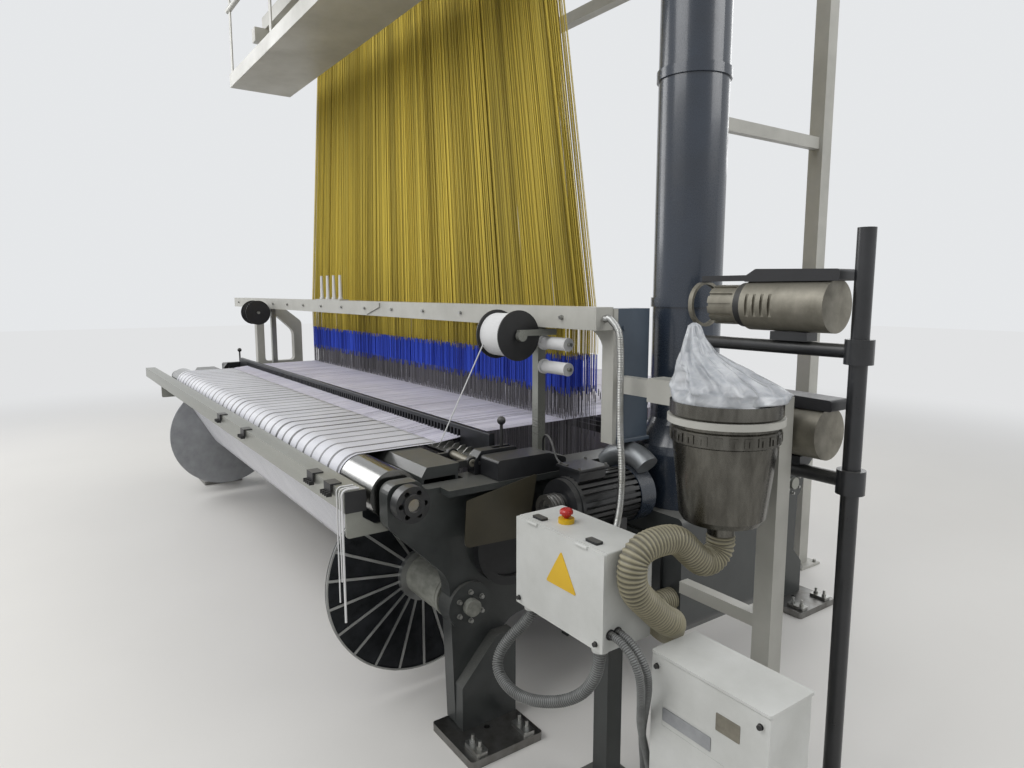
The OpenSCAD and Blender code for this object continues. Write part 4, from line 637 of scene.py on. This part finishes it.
# Two conduits leave the box's side, bend down in front of the cabinet and run back to the floor duct
SIDE_ROUTES = [
    [(2690.3, -944, 654), (2704, -944, 654), (2732, -943, 648), (2758, -941, 632), (2778, -937, 605),
     (2787, -930, 570), (2783, -920, 525), (2768, -903, 470), (2746, -880, 415), (2724, -850, 355),
     (2706, -815, 280), (2692, -783, 200), (2684, -764, 130), (2681, -758, 80), (2681, -758, 34.3)],
    [(2690.3, -918, 654), (2704, -918, 654), (2732, -917, 648), (2757, -914, 632), (2777, -909, 606),
     (2785, -900, 572), (2778, -888, 524), (2758, -872, 468), (2731, -850, 410), (2700, -823, 345),
     (2675, -795, 272), (2659, -772, 200), (2650, -760, 130), (2647, -757, 80), (2647, -757, 34.3)]]
for k, route in enumerate(SIDE_ROUTES):
    CORDS[f"side_conduit_{k + 1}"] = dict(
        width=0.022, rib=0.0022, pitch=0.0058, sides=12, slot="grey_conduit", stiffness="medium",
        points=route)
# A thin cable between the guard and the motor's terminal box
CORDS["lever_cable"] = dict(
    width=0.008, rib=0, pitch=0.012, sides=8, slot="black_plastic", stiffness="medium", lay="loose", points=[
        (1950, -600, 964.6), (1950.5, -601, 985), (1957, -605, 1008), (1975, -612, 1026), (2002, -622, 1033),
        (2030, -631, 1026), (2054, -638, 1008), (2072, -642, 985), (2088, -644.5, 965), (2106, -645.5, 956.5),
        (2130, -646, 955.5), (2150, -646, 955.2)])
# Yarn from the drive end's spool to the fell, where it is woven into the cloth's edge
CORDS["selvedge_yarn"] = dict(
    width=0.005, rib=0, pitch=0.02, sides=8, slot="white_yarn", stiffness="limp", lay="taut", points=[
        (1716, -713, 1352), (1640, -862, 975)])
# White cords laid over the end of the front rail
for k, (x, width, foot) in enumerate([(1872, 0.008, 470), (1846, 0.005, 600), (1822, 0.005, 520)]):
    half = 500 * width  # half the cord's width in millimetres
    CORDS[f"rail_cord_{k + 1}"] = dict(
        width=width, rib=0, pitch=0.02, sides=8, slot="white_yarn", stiffness="limp", far="bare", points=[
            (x, -1296, 913.8 + half), (x, -1318, 914 + half), (x, -1336, 914 + half),
            (x, -1347, 911.5 + half), (x, -1351.5 - half, 903), (x, -1351 - half, 885),
            (x + 1, -1351 - half, 840), (x + 2, -1352 - half, 760), (x + 1, -1351 - half, foot)])
print("hoses and cords:", len(CORDS))

for name, fact in CORDS.items():
    path = smooth_line(fact["points"])
    curve = bpy.data.curves.new(name + "_line", "CURVE")
    curve.dimensions = "3D"
    spline = curve.splines.new("POLY")
    spline.points.add(len(path) - 1)
    for place, point in zip(spline.points, path):
        place.co = (*point, 1.0)
    piece = grow(name + "_dressed", ribbed, fact["slot"], {
        "Radius": fact["width"] / 2, "Rib Height": fact["rib"], "Rib Pitch": fact["pitch"],
        "Sides": fact["sides"]}, curve)
    for face in piece.data.polygons:
        face.use_smooth = True
    hand_over(piece, fact["slot"], replaces=fact.get("replaced", ()))
    print(name, "length", round(length_of(path), 3))

# %% [markdown]
# ## Harness
# A jacquard harness has thousands of cords. They hang from the head in a fan, pass a perforated board,
# and turn from yellow cords into blue ones and then into wire heddles held down by springs.
# One tree makes them all: a grid of points, a thin prism on each, and a lean that depends on the height.
# There are fewer cords than in the real harness, and each is thicker, so it stands for two or three.

# %% A tree of hanging strands
def tinted_copies(tree, given, points, one):
    """Copies of one strand on points, as real geometry in which each copy has its own tint."""
    many = add(tree, "GeometryNodeInstanceOnPoints", {"Points": points, "Instance": one})
    chance = add(tree, "FunctionNodeRandomValue", {2: 0.0, 3: 1.0, "Seed": given["Seed"]},
                 data_type="FLOAT").outputs[1]
    many = add(tree, "GeometryNodeStoreNamedAttribute", {"Geometry": many, "Name": "tint", "Value": chance},
               data_type="FLOAT", domain="INSTANCE")
    return add(tree, "GeometryNodeRealizeInstances", {"Geometry": many})


strands, given = start_tree("hanging strands", {
    "Width": 3.28, "Depth": 0.16, "Columns": 400, "Rows": 5, "Bottom": 0.0, "Top": 1.0,
    "Thickness": 0.002, "Top Share": 1.0, "Ragged": 0.0, "Seed": 1})
grid = add(strands, "GeometryNodeMeshGrid", {
    "Size X": given["Width"], "Size Y": given["Depth"], "Vertices X": given["Columns"],
    "Vertices Y": given["Rows"]})
spread = add(strands, "FunctionNodeRandomValue", {
    "Min": (-0.0016, -0.006, 0.0), "Max": (0.0016, 0.006, 0.0), "Seed": given["Seed"]},
    data_type="FLOAT_VECTOR")
places = add(strands, "GeometryNodeSetPosition", {"Geometry": grid, "Offset": spread})
radius = add(strands, MATH, {0: given["Thickness"], 1: 0.5}, operation="MULTIPLY")
rod = add(strands, "GeometryNodeMeshCylinder", {"Vertices": 4, "Radius": radius, "Depth": 1.0})
rod = add(strands, "GeometryNodeTransform", {"Geometry": rod, "Translation": (0, 0, 0.5)})
solid = tinted_copies(strands, given, places, rod)
# Each rod is 1 long so far, so the height of a point is its share of the way up
here = add(strands, "GeometryNodeInputPosition")
across, front, share = add(strands, "ShaderNodeSeparateXYZ", {0: here}).outputs
narrow = add(strands, MATH, {0: given["Top Share"], 1: 1.0}, operation="SUBTRACT")
lean = add(strands, MATH, {0: narrow, 1: share, 2: 1.0}, operation="MULTIPLY_ADD")
reach = add(strands, MATH, {0: given["Top"], 1: given["Bottom"]}, operation="SUBTRACT")
rise = add(strands, MATH, {0: reach, 1: share, 2: given["Bottom"]}, operation="MULTIPLY_ADD")
# Lower ends hang ragged, each by its own tint
tint = add(strands, "GeometryNodeInputNamedAttribute", {"Name": "tint"}, data_type="FLOAT")
shift = add(strands, MATH, {0: tint, 1: 0.5}, operation="SUBTRACT")
shift = add(strands, MATH, {0: given["Ragged"], 1: shift}, operation="MULTIPLY")
low = add(strands, MATH, {0: 1.0, 1: share}, operation="SUBTRACT")
shift = add(strands, MATH, {0: shift, 1: low}, operation="MULTIPLY")
rise = add(strands, MATH, {0: rise, 1: shift}, operation="ADD")
across = add(strands, MATH, {0: across, 1: lean}, operation="MULTIPLY")
moved = add(strands, "ShaderNodeCombineXYZ", {0: across, 1: front, 2: rise})
solid = add(strands, "GeometryNodeSetPosition", {"Geometry": solid, "Position": moved})
end_tree(strands, given, solid)
print("strand tree nodes:", len(strands.nodes))

# %% Cords and heddles
HARNESS_Y = -0.140
HARNESS_WIDTH = 3.28
HARNESS_DEPTH = 0.160
HEAD_WIDTH = 2.49
BOARD_TOP = 1.456
HEAD_BOTTOM = 3.649
HARNESS = [
    ("harness_fan", "yellow_cord", ["harness_yellow"], {
        "Columns": 760, "Rows": 7, "Bottom": BOARD_TOP, "Top": HEAD_BOTTOM, "Thickness": 0.0034, "Seed": 3,
        "Top Share": HEAD_WIDTH / HARNESS_WIDTH}),
    ("harness_fall", "yellow_cord", [], {
        "Columns": 560, "Rows": 5, "Bottom": 1.262, "Top": 1.439, "Thickness": 0.0034, "Ragged": 0.030,
        "Seed": 5}),
    ("harness_blue_cords", "blue_cord", ["harness_blue"], {
        "Columns": 620, "Rows": 5, "Bottom": 1.112, "Top": 1.272, "Thickness": 0.0046, "Ragged": 0.040,
        "Seed": 7}),
    ("heddle_wires", "heddle_wire", ["heddles"], {
        "Columns": 560, "Rows": 5, "Bottom": 0.190, "Top": 1.130, "Thickness": 0.0024, "Seed": 9}),
]
for name, slot, replaced, values in HARNESS:
    piece = grow(name, strands, slot, {"Width": HARNESS_WIDTH, "Depth": HARNESS_DEPTH, **values})
    piece.data.transform(Matrix.Translation((0, HARNESS_Y, 0)))
    hand_over(piece, slot, replaces=replaced)

# %% [markdown]
# ## Warp
# The warp is a flat sheet of parallel yarns from the cloth's edge through the reed and heddles,
# over the back roller and down to the warp beam. One yarn is drawn as a thin three-sided tube,
# and a line of points repeats it across the loom.

# %% One yarn, from the fell over the back roller to the warp beam
def ring_of(bm, centre, radius, one, two, sides):
    """A ring of points about a centre, in the plane of two directions."""
    angles = [2 * math.pi * k / sides for k in range(sides)]
    return [bm.verts.new(centre + radius * (math.cos(a) * one + math.sin(a) * two)) for a in angles]


def join_rings(bm, rings, ends=False):
    """Faces from each ring to the next, and over both ends if wanted."""
    for low, high in zip(rings, rings[1:]):
        for k in range(len(low)):
            j = (k + 1) % len(low)
            bm.faces.new((low[k], low[j], high[j], high[k]))
    if ends:
        bm.faces.new(rings[0])
        bm.faces.new(rings[-1])


WARP_WIDTH = 3.24
YARN_RADIUS = 0.0012
# Axis of the back-rest roller, and the radius at which the yarn lies on it
REST = Vector((0, 1.180, 0.9297))
REST_RADIUS = 0.0718

yarn_line = [Vector((0, -0.866, 0.9680)), Vector((0, -0.690, 0.9865)), Vector((0, -0.20, 0.9905))]
for degrees in range(0, 91, 10):
    turn = math.radians(degrees)
    yarn_line.append(REST + REST_RADIUS * Vector((0, math.sin(turn), math.cos(turn))))
yarn_line.append(Vector((0, 1.2518, 0.600)))

bm = bmesh.new()
rings = []
for i, point in enumerate(yarn_line):
    after = yarn_line[min(i + 1, len(yarn_line) - 1)]
    before = yarn_line[max(i - 1, 0)]
    ahead = (after - before).normalized()
    side = Vector((1, 0, 0))
    rings.append(ring_of(bm, point, YARN_RADIUS, side, side.cross(ahead), 3))
join_rings(bm, rings, ends=True)
bmesh.ops.recalc_face_normals(bm, faces=bm.faces)
one_yarn = bpy.data.meshes.new("one_yarn")
bm.to_mesh(one_yarn)
bm.free()
print("one yarn, length", round(length_of(yarn_line), 3))

# %% The sheet of yarns
rows, given = start_tree("yarns side by side", {"Width": 3.24, "Count": 800, "Uneven": 0.001, "Seed": 2})
gaps = add(rows, MATH, {0: given["Count"], 1: 1.0}, operation="SUBTRACT")
gap = add(rows, MATH, {0: given["Width"], 1: gaps}, operation="DIVIDE")
first = add(rows, MATH, {0: given["Width"], 1: -0.5}, operation="MULTIPLY")
first = add(rows, "ShaderNodeCombineXYZ", {0: first})
stride = add(rows, "ShaderNodeCombineXYZ", {0: gap})
dots = add(rows, "GeometryNodeMeshLine", {"Count": given["Count"], "Start Location": first, "Offset": stride})
lift = add(rows, "FunctionNodeRandomValue", {2: 0.0, 3: given["Uneven"], "Seed": given["Seed"]},
           data_type="FLOAT").outputs[1]
lift = add(rows, "ShaderNodeCombineXYZ", {2: lift})
dots = add(rows, "GeometryNodeSetPosition", {"Geometry": dots, "Offset": lift})
end_tree(rows, given, tinted_copies(rows, given, dots, given["Geometry"]))

warp = grow("warp_yarns", rows, "warp_yarn", {
    "Width": WARP_WIDTH, "Count": 900, "Uneven": 0.0022, "Seed": 11}, one_yarn)
hand_over(warp, "warp_yarn", replaces=["warp"])

# %% [markdown]
# ## Cloth
# The woven cloth is one sheet that starts at the fell, where the last weft was beaten in.
# It runs flat over the table, bends over the breast roller and goes down to the cloth roll.
# A sheet under tension still has faint waves, so each point is moved a fraction of a millimetre.

# %% The line that the cloth follows
CLOTH_WIDTH = 3.25
FELL_Y = -0.864
CLOTH_Z = 0.9678
# Axes of the breast roller and the cloth roll, and the radii at which the cloth lies on them
BREAST = Vector((0, -1.185, 0.8817))
BREAST_RADIUS = 0.0861
ROLL = Vector((0, -0.950, 0.465))
ROLL_RADIUS = 0.0868
# Angle at which the cloth leaves the breast roller, counted from the back of the loom over the top
LEAVES_AT = math.radians(209.54)


def cloth_line():
    """Points of the cloth from the fell to the cloth roll, each with the direction that faces outwards."""
    level = BREAST.y - FELL_Y
    flat = [(Vector((0, FELL_Y + level * k / 12, CLOTH_Z)), Vector((0, 0, 1))) for k in range(12)]
    bend = []
    for k in range(25):
        a = math.pi / 2 + (LEAVES_AT - math.pi / 2) * k / 24
        way = Vector((0, math.cos(a), math.sin(a)))
        bend.append((BREAST + BREAST_RADIUS * way, way))
    start, way = bend[-1]
    end = ROLL + ROLL_RADIUS * way
    drop = [(start.lerp(end, k / 14), way) for k in range(1, 15)]
    return flat + bend + drop


line = cloth_line()

# %% The cloth sheet
COLUMNS = 220
RIPPLE = 0.0006

bm = bmesh.new()
sheet_rows = []
for j, (point, way) in enumerate(line):
    free = math.sin(math.pi * j / (len(line) - 1))
    row = []
    for i in range(COLUMNS + 1):
        x = (i / COLUMNS - 0.5) * CLOTH_WIDTH
        ripple = noise.noise(Vector((x * 9.0, j * 0.10, 0.3))) * RIPPLE * free
        row.append(bm.verts.new(point + way * abs(ripple) + Vector((x, 0, 0))))
    sheet_rows.append(row)
for a, b in zip(sheet_rows, sheet_rows[1:]):
    for i in range(COLUMNS):
        bm.faces.new((a[i], a[i + 1], b[i + 1], b[i]))
cloth = from_bmesh("woven_cloth", bm)
thick = cloth.modifiers.new("thickness", "SOLIDIFY")
thick.thickness = 0.0008
thick.offset = 1.0
hand_over(cloth, "white_fabric", replaces=["cloth"])
print("cloth points:", len(cloth.data.vertices))

# %% [markdown]
# ## Bag over the oil bucket
# The bucket is lined with a thin polythene bag whose spare end is pulled up to one side.
# It is one skin: rings of points from the gathered tip down over the rim. Its folds deepen as it widens.

# %% The bag's outline
BUCKET = Vector((2.763, -0.599, 0.0))
RIM = 1.259
TIP = Vector((-0.075, -0.052, 0.0))
SPILL = Vector((0.60, 0.80, 0.0))
RIM_RADIUS = 0.1440
HEM_RADIUS = 0.1445
# From this share of the way down, the film lies inside the rim
TUCKED = 0.86
BAG = [
    # share of the way down, radius, height above the rim, shift towards the gathered tip
    (0.00, 0.006, 0.208, 1.00), (0.07, 0.017, 0.200, 1.00), (0.17, 0.026, 0.168, 0.97),
    (0.30, 0.044, 0.128, 0.86), (0.43, 0.072, 0.098, 0.62), (0.55, 0.098, 0.074, 0.36),
    (0.66, 0.124, 0.052, 0.14), (0.76, 0.139, 0.030, 0.02), (0.86, 0.1435, 0.004, 0.0),
    (1.00, 0.1440, -0.022, 0.0),
]


def bag_ring(t):
    """Radius, height and shift of the bag at a share t of the way down from its tip."""
    for a, b in zip(BAG, BAG[1:]):
        if t <= b[0]:
            f = (t - a[0]) / (b[0] - a[0])
            f = f * f * (3 - 2 * f)
            return [a[i] + (b[i] - a[i]) * f for i in (1, 2, 3)]
    return list(BAG[-1][1:])


print("bag stands", BAG[0][2], "above the rim")

# %% The bag
AROUND = 168
DOWN = 54

bm = bmesh.new()
bag_rows = []
for j in range(DOWN + 1):
    t = j / DOWN
    radius, height, towards = bag_ring(t)
    free = min(1.0, 5 * t) * (1.0 if t < 0.72 else max(0.0, (TUCKED - t) / 0.14))
    bulge = math.exp(-((t - 0.74) / 0.11) ** 2)
    row = []
    for i in range(AROUND):
        a = 2 * math.pi * i / AROUND
        here = Vector((math.cos(a), math.sin(a), 0))
        fold = noise.noise(here * 2.3 + Vector((0, 0, t * 2.2)))
        fold += 0.42 * noise.noise(here * 4.6 + Vector((3, 1, t * 3.4)))
        fold += 0.12 * noise.noise(here * 11.0 + Vector((5, 2, t * 6.0)))
        r = max(0.003, radius * (1 + 0.34 * min(fold, 0.30) * free))
        # On the side away from the tip the film leans out over the rim
        outer = max(0.0, here.dot(SPILL)) ** 2
        r += 0.050 * outer * bulge
        h = height - 0.030 * outer * bulge * (0.6 + 0.8 * fold)
        h += 0.010 * noise.noise(here * 2.4 + Vector((7, t * 5, 0))) * free
        if r > RIM_RADIUS:
            h = max(h, 0.003)
        if t >= TUCKED:
            r = min(r, HEM_RADIUS)
        row.append(bm.verts.new(BUCKET + TIP * towards + here * r + Vector((0, 0, RIM + h))))
    bag_rows.append(row)
join_rings(bm, bag_rows)
bm.faces.new(bag_rows[0])
bag_area = sum(f.calc_area() for f in bm.faces)
bag = from_bmesh("bucket_bag_film", bm)
skin = bag.modifiers.new("skin", "SOLIDIFY")
skin.thickness = 0.0006
skin.offset = 0.0
hand_over(bag, "film", replaces=["bucket_bag"])
side = math.sqrt(bag_area)
print("bag area", round(bag_area, 3), "square side", round(side, 3))

# %% [markdown]
# ## Spools, plates and clips
# Turned parts are one outline spun about an axis, as on a lathe.
# Flat fittings are plates cut from sheet: an outline with rounded corners, given a thickness.

# %% Turned and flat fittings
def turned(name, outline, start, way, sides=64):
    """A closed outline of (distance along, radius) points spun about the axis from start in a direction."""
    way = Vector(way).normalized()
    one = way.orthogonal().normalized()
    two = way.cross(one)
    bm = bmesh.new()
    rings = [ring_of(bm, Vector(start) + along * way, r, one, two, sides) for along, r in outline]
    join_rings(bm, rings + rings[:1])
    return from_bmesh(name, bm, False)


def plate(name, outline, near, far, across="Y"):
    """A flat plate whose outline lies in the XZ plane (across Y) or the XY plane (across Z)."""
    bm = bmesh.new()
    faces = []
    for d in (near, far):
        corners = [(u, d, v) if across == "Y" else (u, v, d) for u, v in outline]
        faces.append([bm.verts.new(corner) for corner in corners])
    join_rings(bm, faces, ends=True)
    return from_bmesh(name, bm, False)


def rounded(corners, radius, steps=4):
    """The outline of a convex polygon with each corner rounded."""
    made = []
    for i, corner in enumerate(corners):
        c = Vector(corner)
        before = (Vector(corners[i - 1]) - c).normalized()
        after = (Vector(corners[(i + 1) % len(corners)]) - c).normalized()
        for k in range(steps + 1):
            t = k / steps
            made.append(c + radius * ((1 - t) ** 2 * before + t ** 2 * after))
    return [(v.x, v.y) for v in made]


def block(u0, u1, v0, v1):
    """The four corners of a rectangle."""
    return [(u0, v0), (u1, v0), (u1, v1), (u0, v1)]


print("plates and turned parts ready")

# %% Selvedge spools with their yarn
SPOOL_AT = (0, -0.640, 1.388)
TURNS = 69
TURN_PITCH = 0.002

for side, sign, full in (("right", 1, 0.082), ("left", -1, 0.050)):
    body = f"yarn_spool_{side}"
    way = (sign, 0, 0)
    reel = [
        (1.700, 0.0103), (1.700, 0.095), (1.705, 0.095), (1.706, 0.028), (1.844, 0.028), (1.845, 0.095),
        (1.850, 0.095), (1.850, 0.0103)]
    flanges = turned(f"spool_flanges_{side}", reel, SPOOL_AT, way)
    hand_over(flanges, "black_plastic", body, [f"spool_{side}"])
    wound = [(1.7062, 0.0285)]
    for k in range(TURNS):
        wound.append((1.7064 + TURN_PITCH * k, full - (0.0006 if k % 2 else 0.0)))
    wound.append((1.8438, 0.0285))
    yarn = turned(f"spool_yarn_{side}", wound, SPOOL_AT, way)
    hand_over(yarn, "white_yarn", body)
    print("spool", side, "wound to a radius of", full)

# %% A polished bar beyond the cloth's edge, held off the table by two clamps with a ring each
BAR_START = (1.752, -0.8860, 0.9560)
BAR_WAY = (1.0, 0.004, -0.045)

outline = [(0, 0.004), (0, 0.0125), (0.0015, 0.014), (0.160, 0.014), (0.1615, 0.0125), (0.1615, 0.004)]
hand_over(turned("edge_bar", outline, BAR_START, BAR_WAY, 40), "feeder_alu")
for k, along in enumerate((0.012, 0.150)):
    ring = [(along - 0.009, 0.0142), (along - 0.009, 0.021), (along - 0.007, 0.023), (along + 0.007, 0.023),
            (along + 0.009, 0.021), (along + 0.009, 0.0142)]
    hand_over(turned(f"edge_bar_ring_{k + 1}", ring, BAR_START, BAR_WAY, 32), "black_plastic")
    x = BAR_START[0] + along
    foot = rounded(block(x - 0.008, x + 0.008, -0.9462, -0.9070), 0.003)
    hand_over(plate(f"edge_bar_arm_{k + 1}", foot, 0.938, 0.962, "Z"), "black_plastic")
print("edge bar held by 2 clamps")

# %% Bright slanted blades beside the race, laid on two cross wires
BLADES = 12
BLADE_PITCH = 0.0165
BLADE_RADIUS = 0.0022
WIRE_RADIUS = 0.0026

bars = []
for k in range(BLADES):
    step = BLADE_PITCH * k
    bars.append(((1.650 + step, -0.846, 0.9405), (1.662 + step, -0.776, 0.9425), BLADE_RADIUS))
for y in (-0.836, -0.812):
    bars.append(((1.640, y, 0.9345), (1.852, y, 0.9345), WIRE_RADIUS))
bm = bmesh.new()
for start, end, radius in bars:
    start = Vector(start)
    end = Vector(end)
    way = (end - start).normalized()
    one = way.orthogonal().normalized()
    two = way.cross(one)
    bevel = 0.001 * way
    places = ((start, 0.6), (start + bevel, 1.0), (end - bevel, 1.0), (end, 0.6))
    join_rings(bm, [ring_of(bm, place, radius * share, one, two, 6) for place, share in places], ends=True)
hand_over(from_bmesh("race_blades", bm, False), "zinc", "sley_body")
print("blades and wires:", len(bars))

# %% Flat plates and clamps
# Plates by name: outline, near and far side, direction across, slot and body
CABINET_FACE = (-0.8401, -0.8411)
PLATES = {
    # A plain yellow triangle on the box's door
    "door_plate": (rounded([(2.449, 0.727), (2.583, 0.727), (2.516, 0.834)], 0.009),
                   -0.9701, -0.9714, "Y", "yellow_plastic", "door"),
    # Two plain plates on the floor cabinet
    "cabinet_plate": (rounded(block(2.787, 2.944, 0.425, 0.462), 0.003),
                      *CABINET_FACE, "Y", "grey_sheet", "frame"),
    "cabinet_small_plate": (rounded(block(2.957, 3.027, 0.492, 0.538), 0.003),
                            *CABINET_FACE, "Y", "feeder_alu", "frame"),
}
# Two black clamps on top of the box
for k, x in enumerate((2.345, 2.585)):
    PLATES[f"box_clamp_{k + 1}"] = (rounded(block(x, x + 0.048, -0.944, -0.920), 0.004),
                                    0.8801, 0.8870, "Z", "black_plastic", "frame")
for name, (outline, near, far, across, slot, body) in PLATES.items():
    hand_over(plate(name, outline, near, far, across), slot, body)
print("plates:", len(PLATES))

# %% [markdown]
# ## Bolts and screws
# A machine this size is held by hundreds of the same few bolts, so one head is made once and copied.
# Each place is a point that also stores which way its head faces and how wide it is.
# The tree turns a hexagon head with a washer to that direction, and real copies are made at the end.

# %% A tree that puts a bolt head on every point
heads, given = start_tree("bolt heads", {"Sides": 6, "Head Height": 0.62})
way = add(heads, "GeometryNodeInputNamedAttribute", {"Name": "way"}, data_type="FLOAT_VECTOR")
wide = add(heads, "GeometryNodeInputNamedAttribute", {"Name": "wide"}, data_type="FLOAT")
turn = add(heads, "FunctionNodeAlignRotationToVector", {"Vector": way}, axis="Z")
# Sizes of the washer and the head are shares of the width over the head's corners
washer = add(heads, "GeometryNodeMeshCylinder", {"Vertices": 14, "Radius": 0.62, "Depth": 0.12})
washer = add(heads, "GeometryNodeTransform", {"Geometry": washer, "Translation": (0, 0, 0.06)})
head = add(heads, "GeometryNodeMeshCylinder", {
    "Vertices": given["Sides"], "Radius": 0.5, "Depth": given["Head Height"]})
head = add(heads, "GeometryNodeTransform", {"Geometry": head, "Translation": (0, 0, 0.42)})
both = add(heads, "GeometryNodeJoinGeometry", {0: washer})
heads.links.new(head.outputs[0], both.inputs[0])
many = add(heads, "GeometryNodeInstanceOnPoints", {
    "Points": given["Geometry"], "Instance": both, "Rotation": turn, "Scale": wide})
end_tree(heads, given, many)


def bolts(name, places, slot, body="frame", sides=6, height=0.62):
    """Bolt heads at places (point, way it faces, width)."""
    mesh = bpy.data.meshes.new(name)
    mesh.from_pydata([point for point, _, _ in places], [], [])
    mesh.attributes.new("way", "FLOAT_VECTOR", "POINT").data.foreach_set(
        "vector", [c for _, w, _ in places for c in w])
    mesh.attributes.new("wide", "FLOAT", "POINT").data.foreach_set("value", [w for _, _, w in places])
    hand_over(grow(name, heads, slot, {"Sides": sides, "Head Height": height}, mesh), slot, body)


print("bolt tree nodes:", len(heads.nodes))

# %% Places of the frame's bolts
FRONT = (0, -1, 0)
UP = (0, 0, 1)

frame_bolts = []
# Six round each bearing of the two side frames
for sign in (1, -1):
    for y, z in ((-0.950, 0.465), (-0.500, 0.425), (0.950, 0.600)):
        for k in range(6):
            a = math.radians(60 * k + 30)
            place = (sign * 1.9951, y + 0.052 * math.cos(a), z + 0.052 * math.sin(a))
            frame_bolts.append((place, (sign, 0, 0), 0.015))
# A row along the crossbeam
for k in range(14):
    frame_bolts.append(((-2.70 + 0.36 * k, -0.5401, 1.458), FRONT, 0.016))
# Four on the foot of each gantry leg
for x in (-1.76, 1.76):
    for y in (0.420, 1.400):
        for dx in (-0.068, 0.068):
            for dy in (-0.068, 0.068):
                frame_bolts.append(((x + dx, y + dy, 0.0121), UP, 0.020))
bolts("frame_bolts", frame_bolts, "zinc")

# %% Screws of the boxes and covers
SCREWS = {
    "cover_bolts": ([((2.158, -0.4401, z), FRONT, 0.015) for z in (1.163, 1.123)],
                    "zinc", "frame", 6, 0.62),
    "door_screws": ([((x, -0.9741, 0.627), FRONT, 0.013) for x in (2.322, 2.668)],
                    "black_plastic", "door", 16, 0.4),
    "cabinet_screws": ([((x, -0.8441, z), FRONT, 0.013) for x in (2.767, 3.083) for z in (0.034, 0.570)],
                       "black_plastic", "frame", 16, 0.4),
    "side_glands": ([((2.6901, y, 0.654), (1, 0, 0), 0.024) for y in (-0.944, -0.918)],
                    "black_plastic", "frame", 6, 0.5),
    "lid_screws": ([((x, y, 0.9552), UP, 0.010) for x in (2.111, 2.219) for y in (-0.652, -0.532)],
                   "steel", "frame", 12, 0.5),
}
for name, facts in SCREWS.items():
    bolts(name, *facts)

# %% [markdown]
# ## Sizes
# The dressed loom has to fill the same space as the solid model, so both boxes are kept in one dictionary.

# %% The sizes before and after
size = {"before": [list(v) for v in cad_box], "after": [list(v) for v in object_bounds()]}
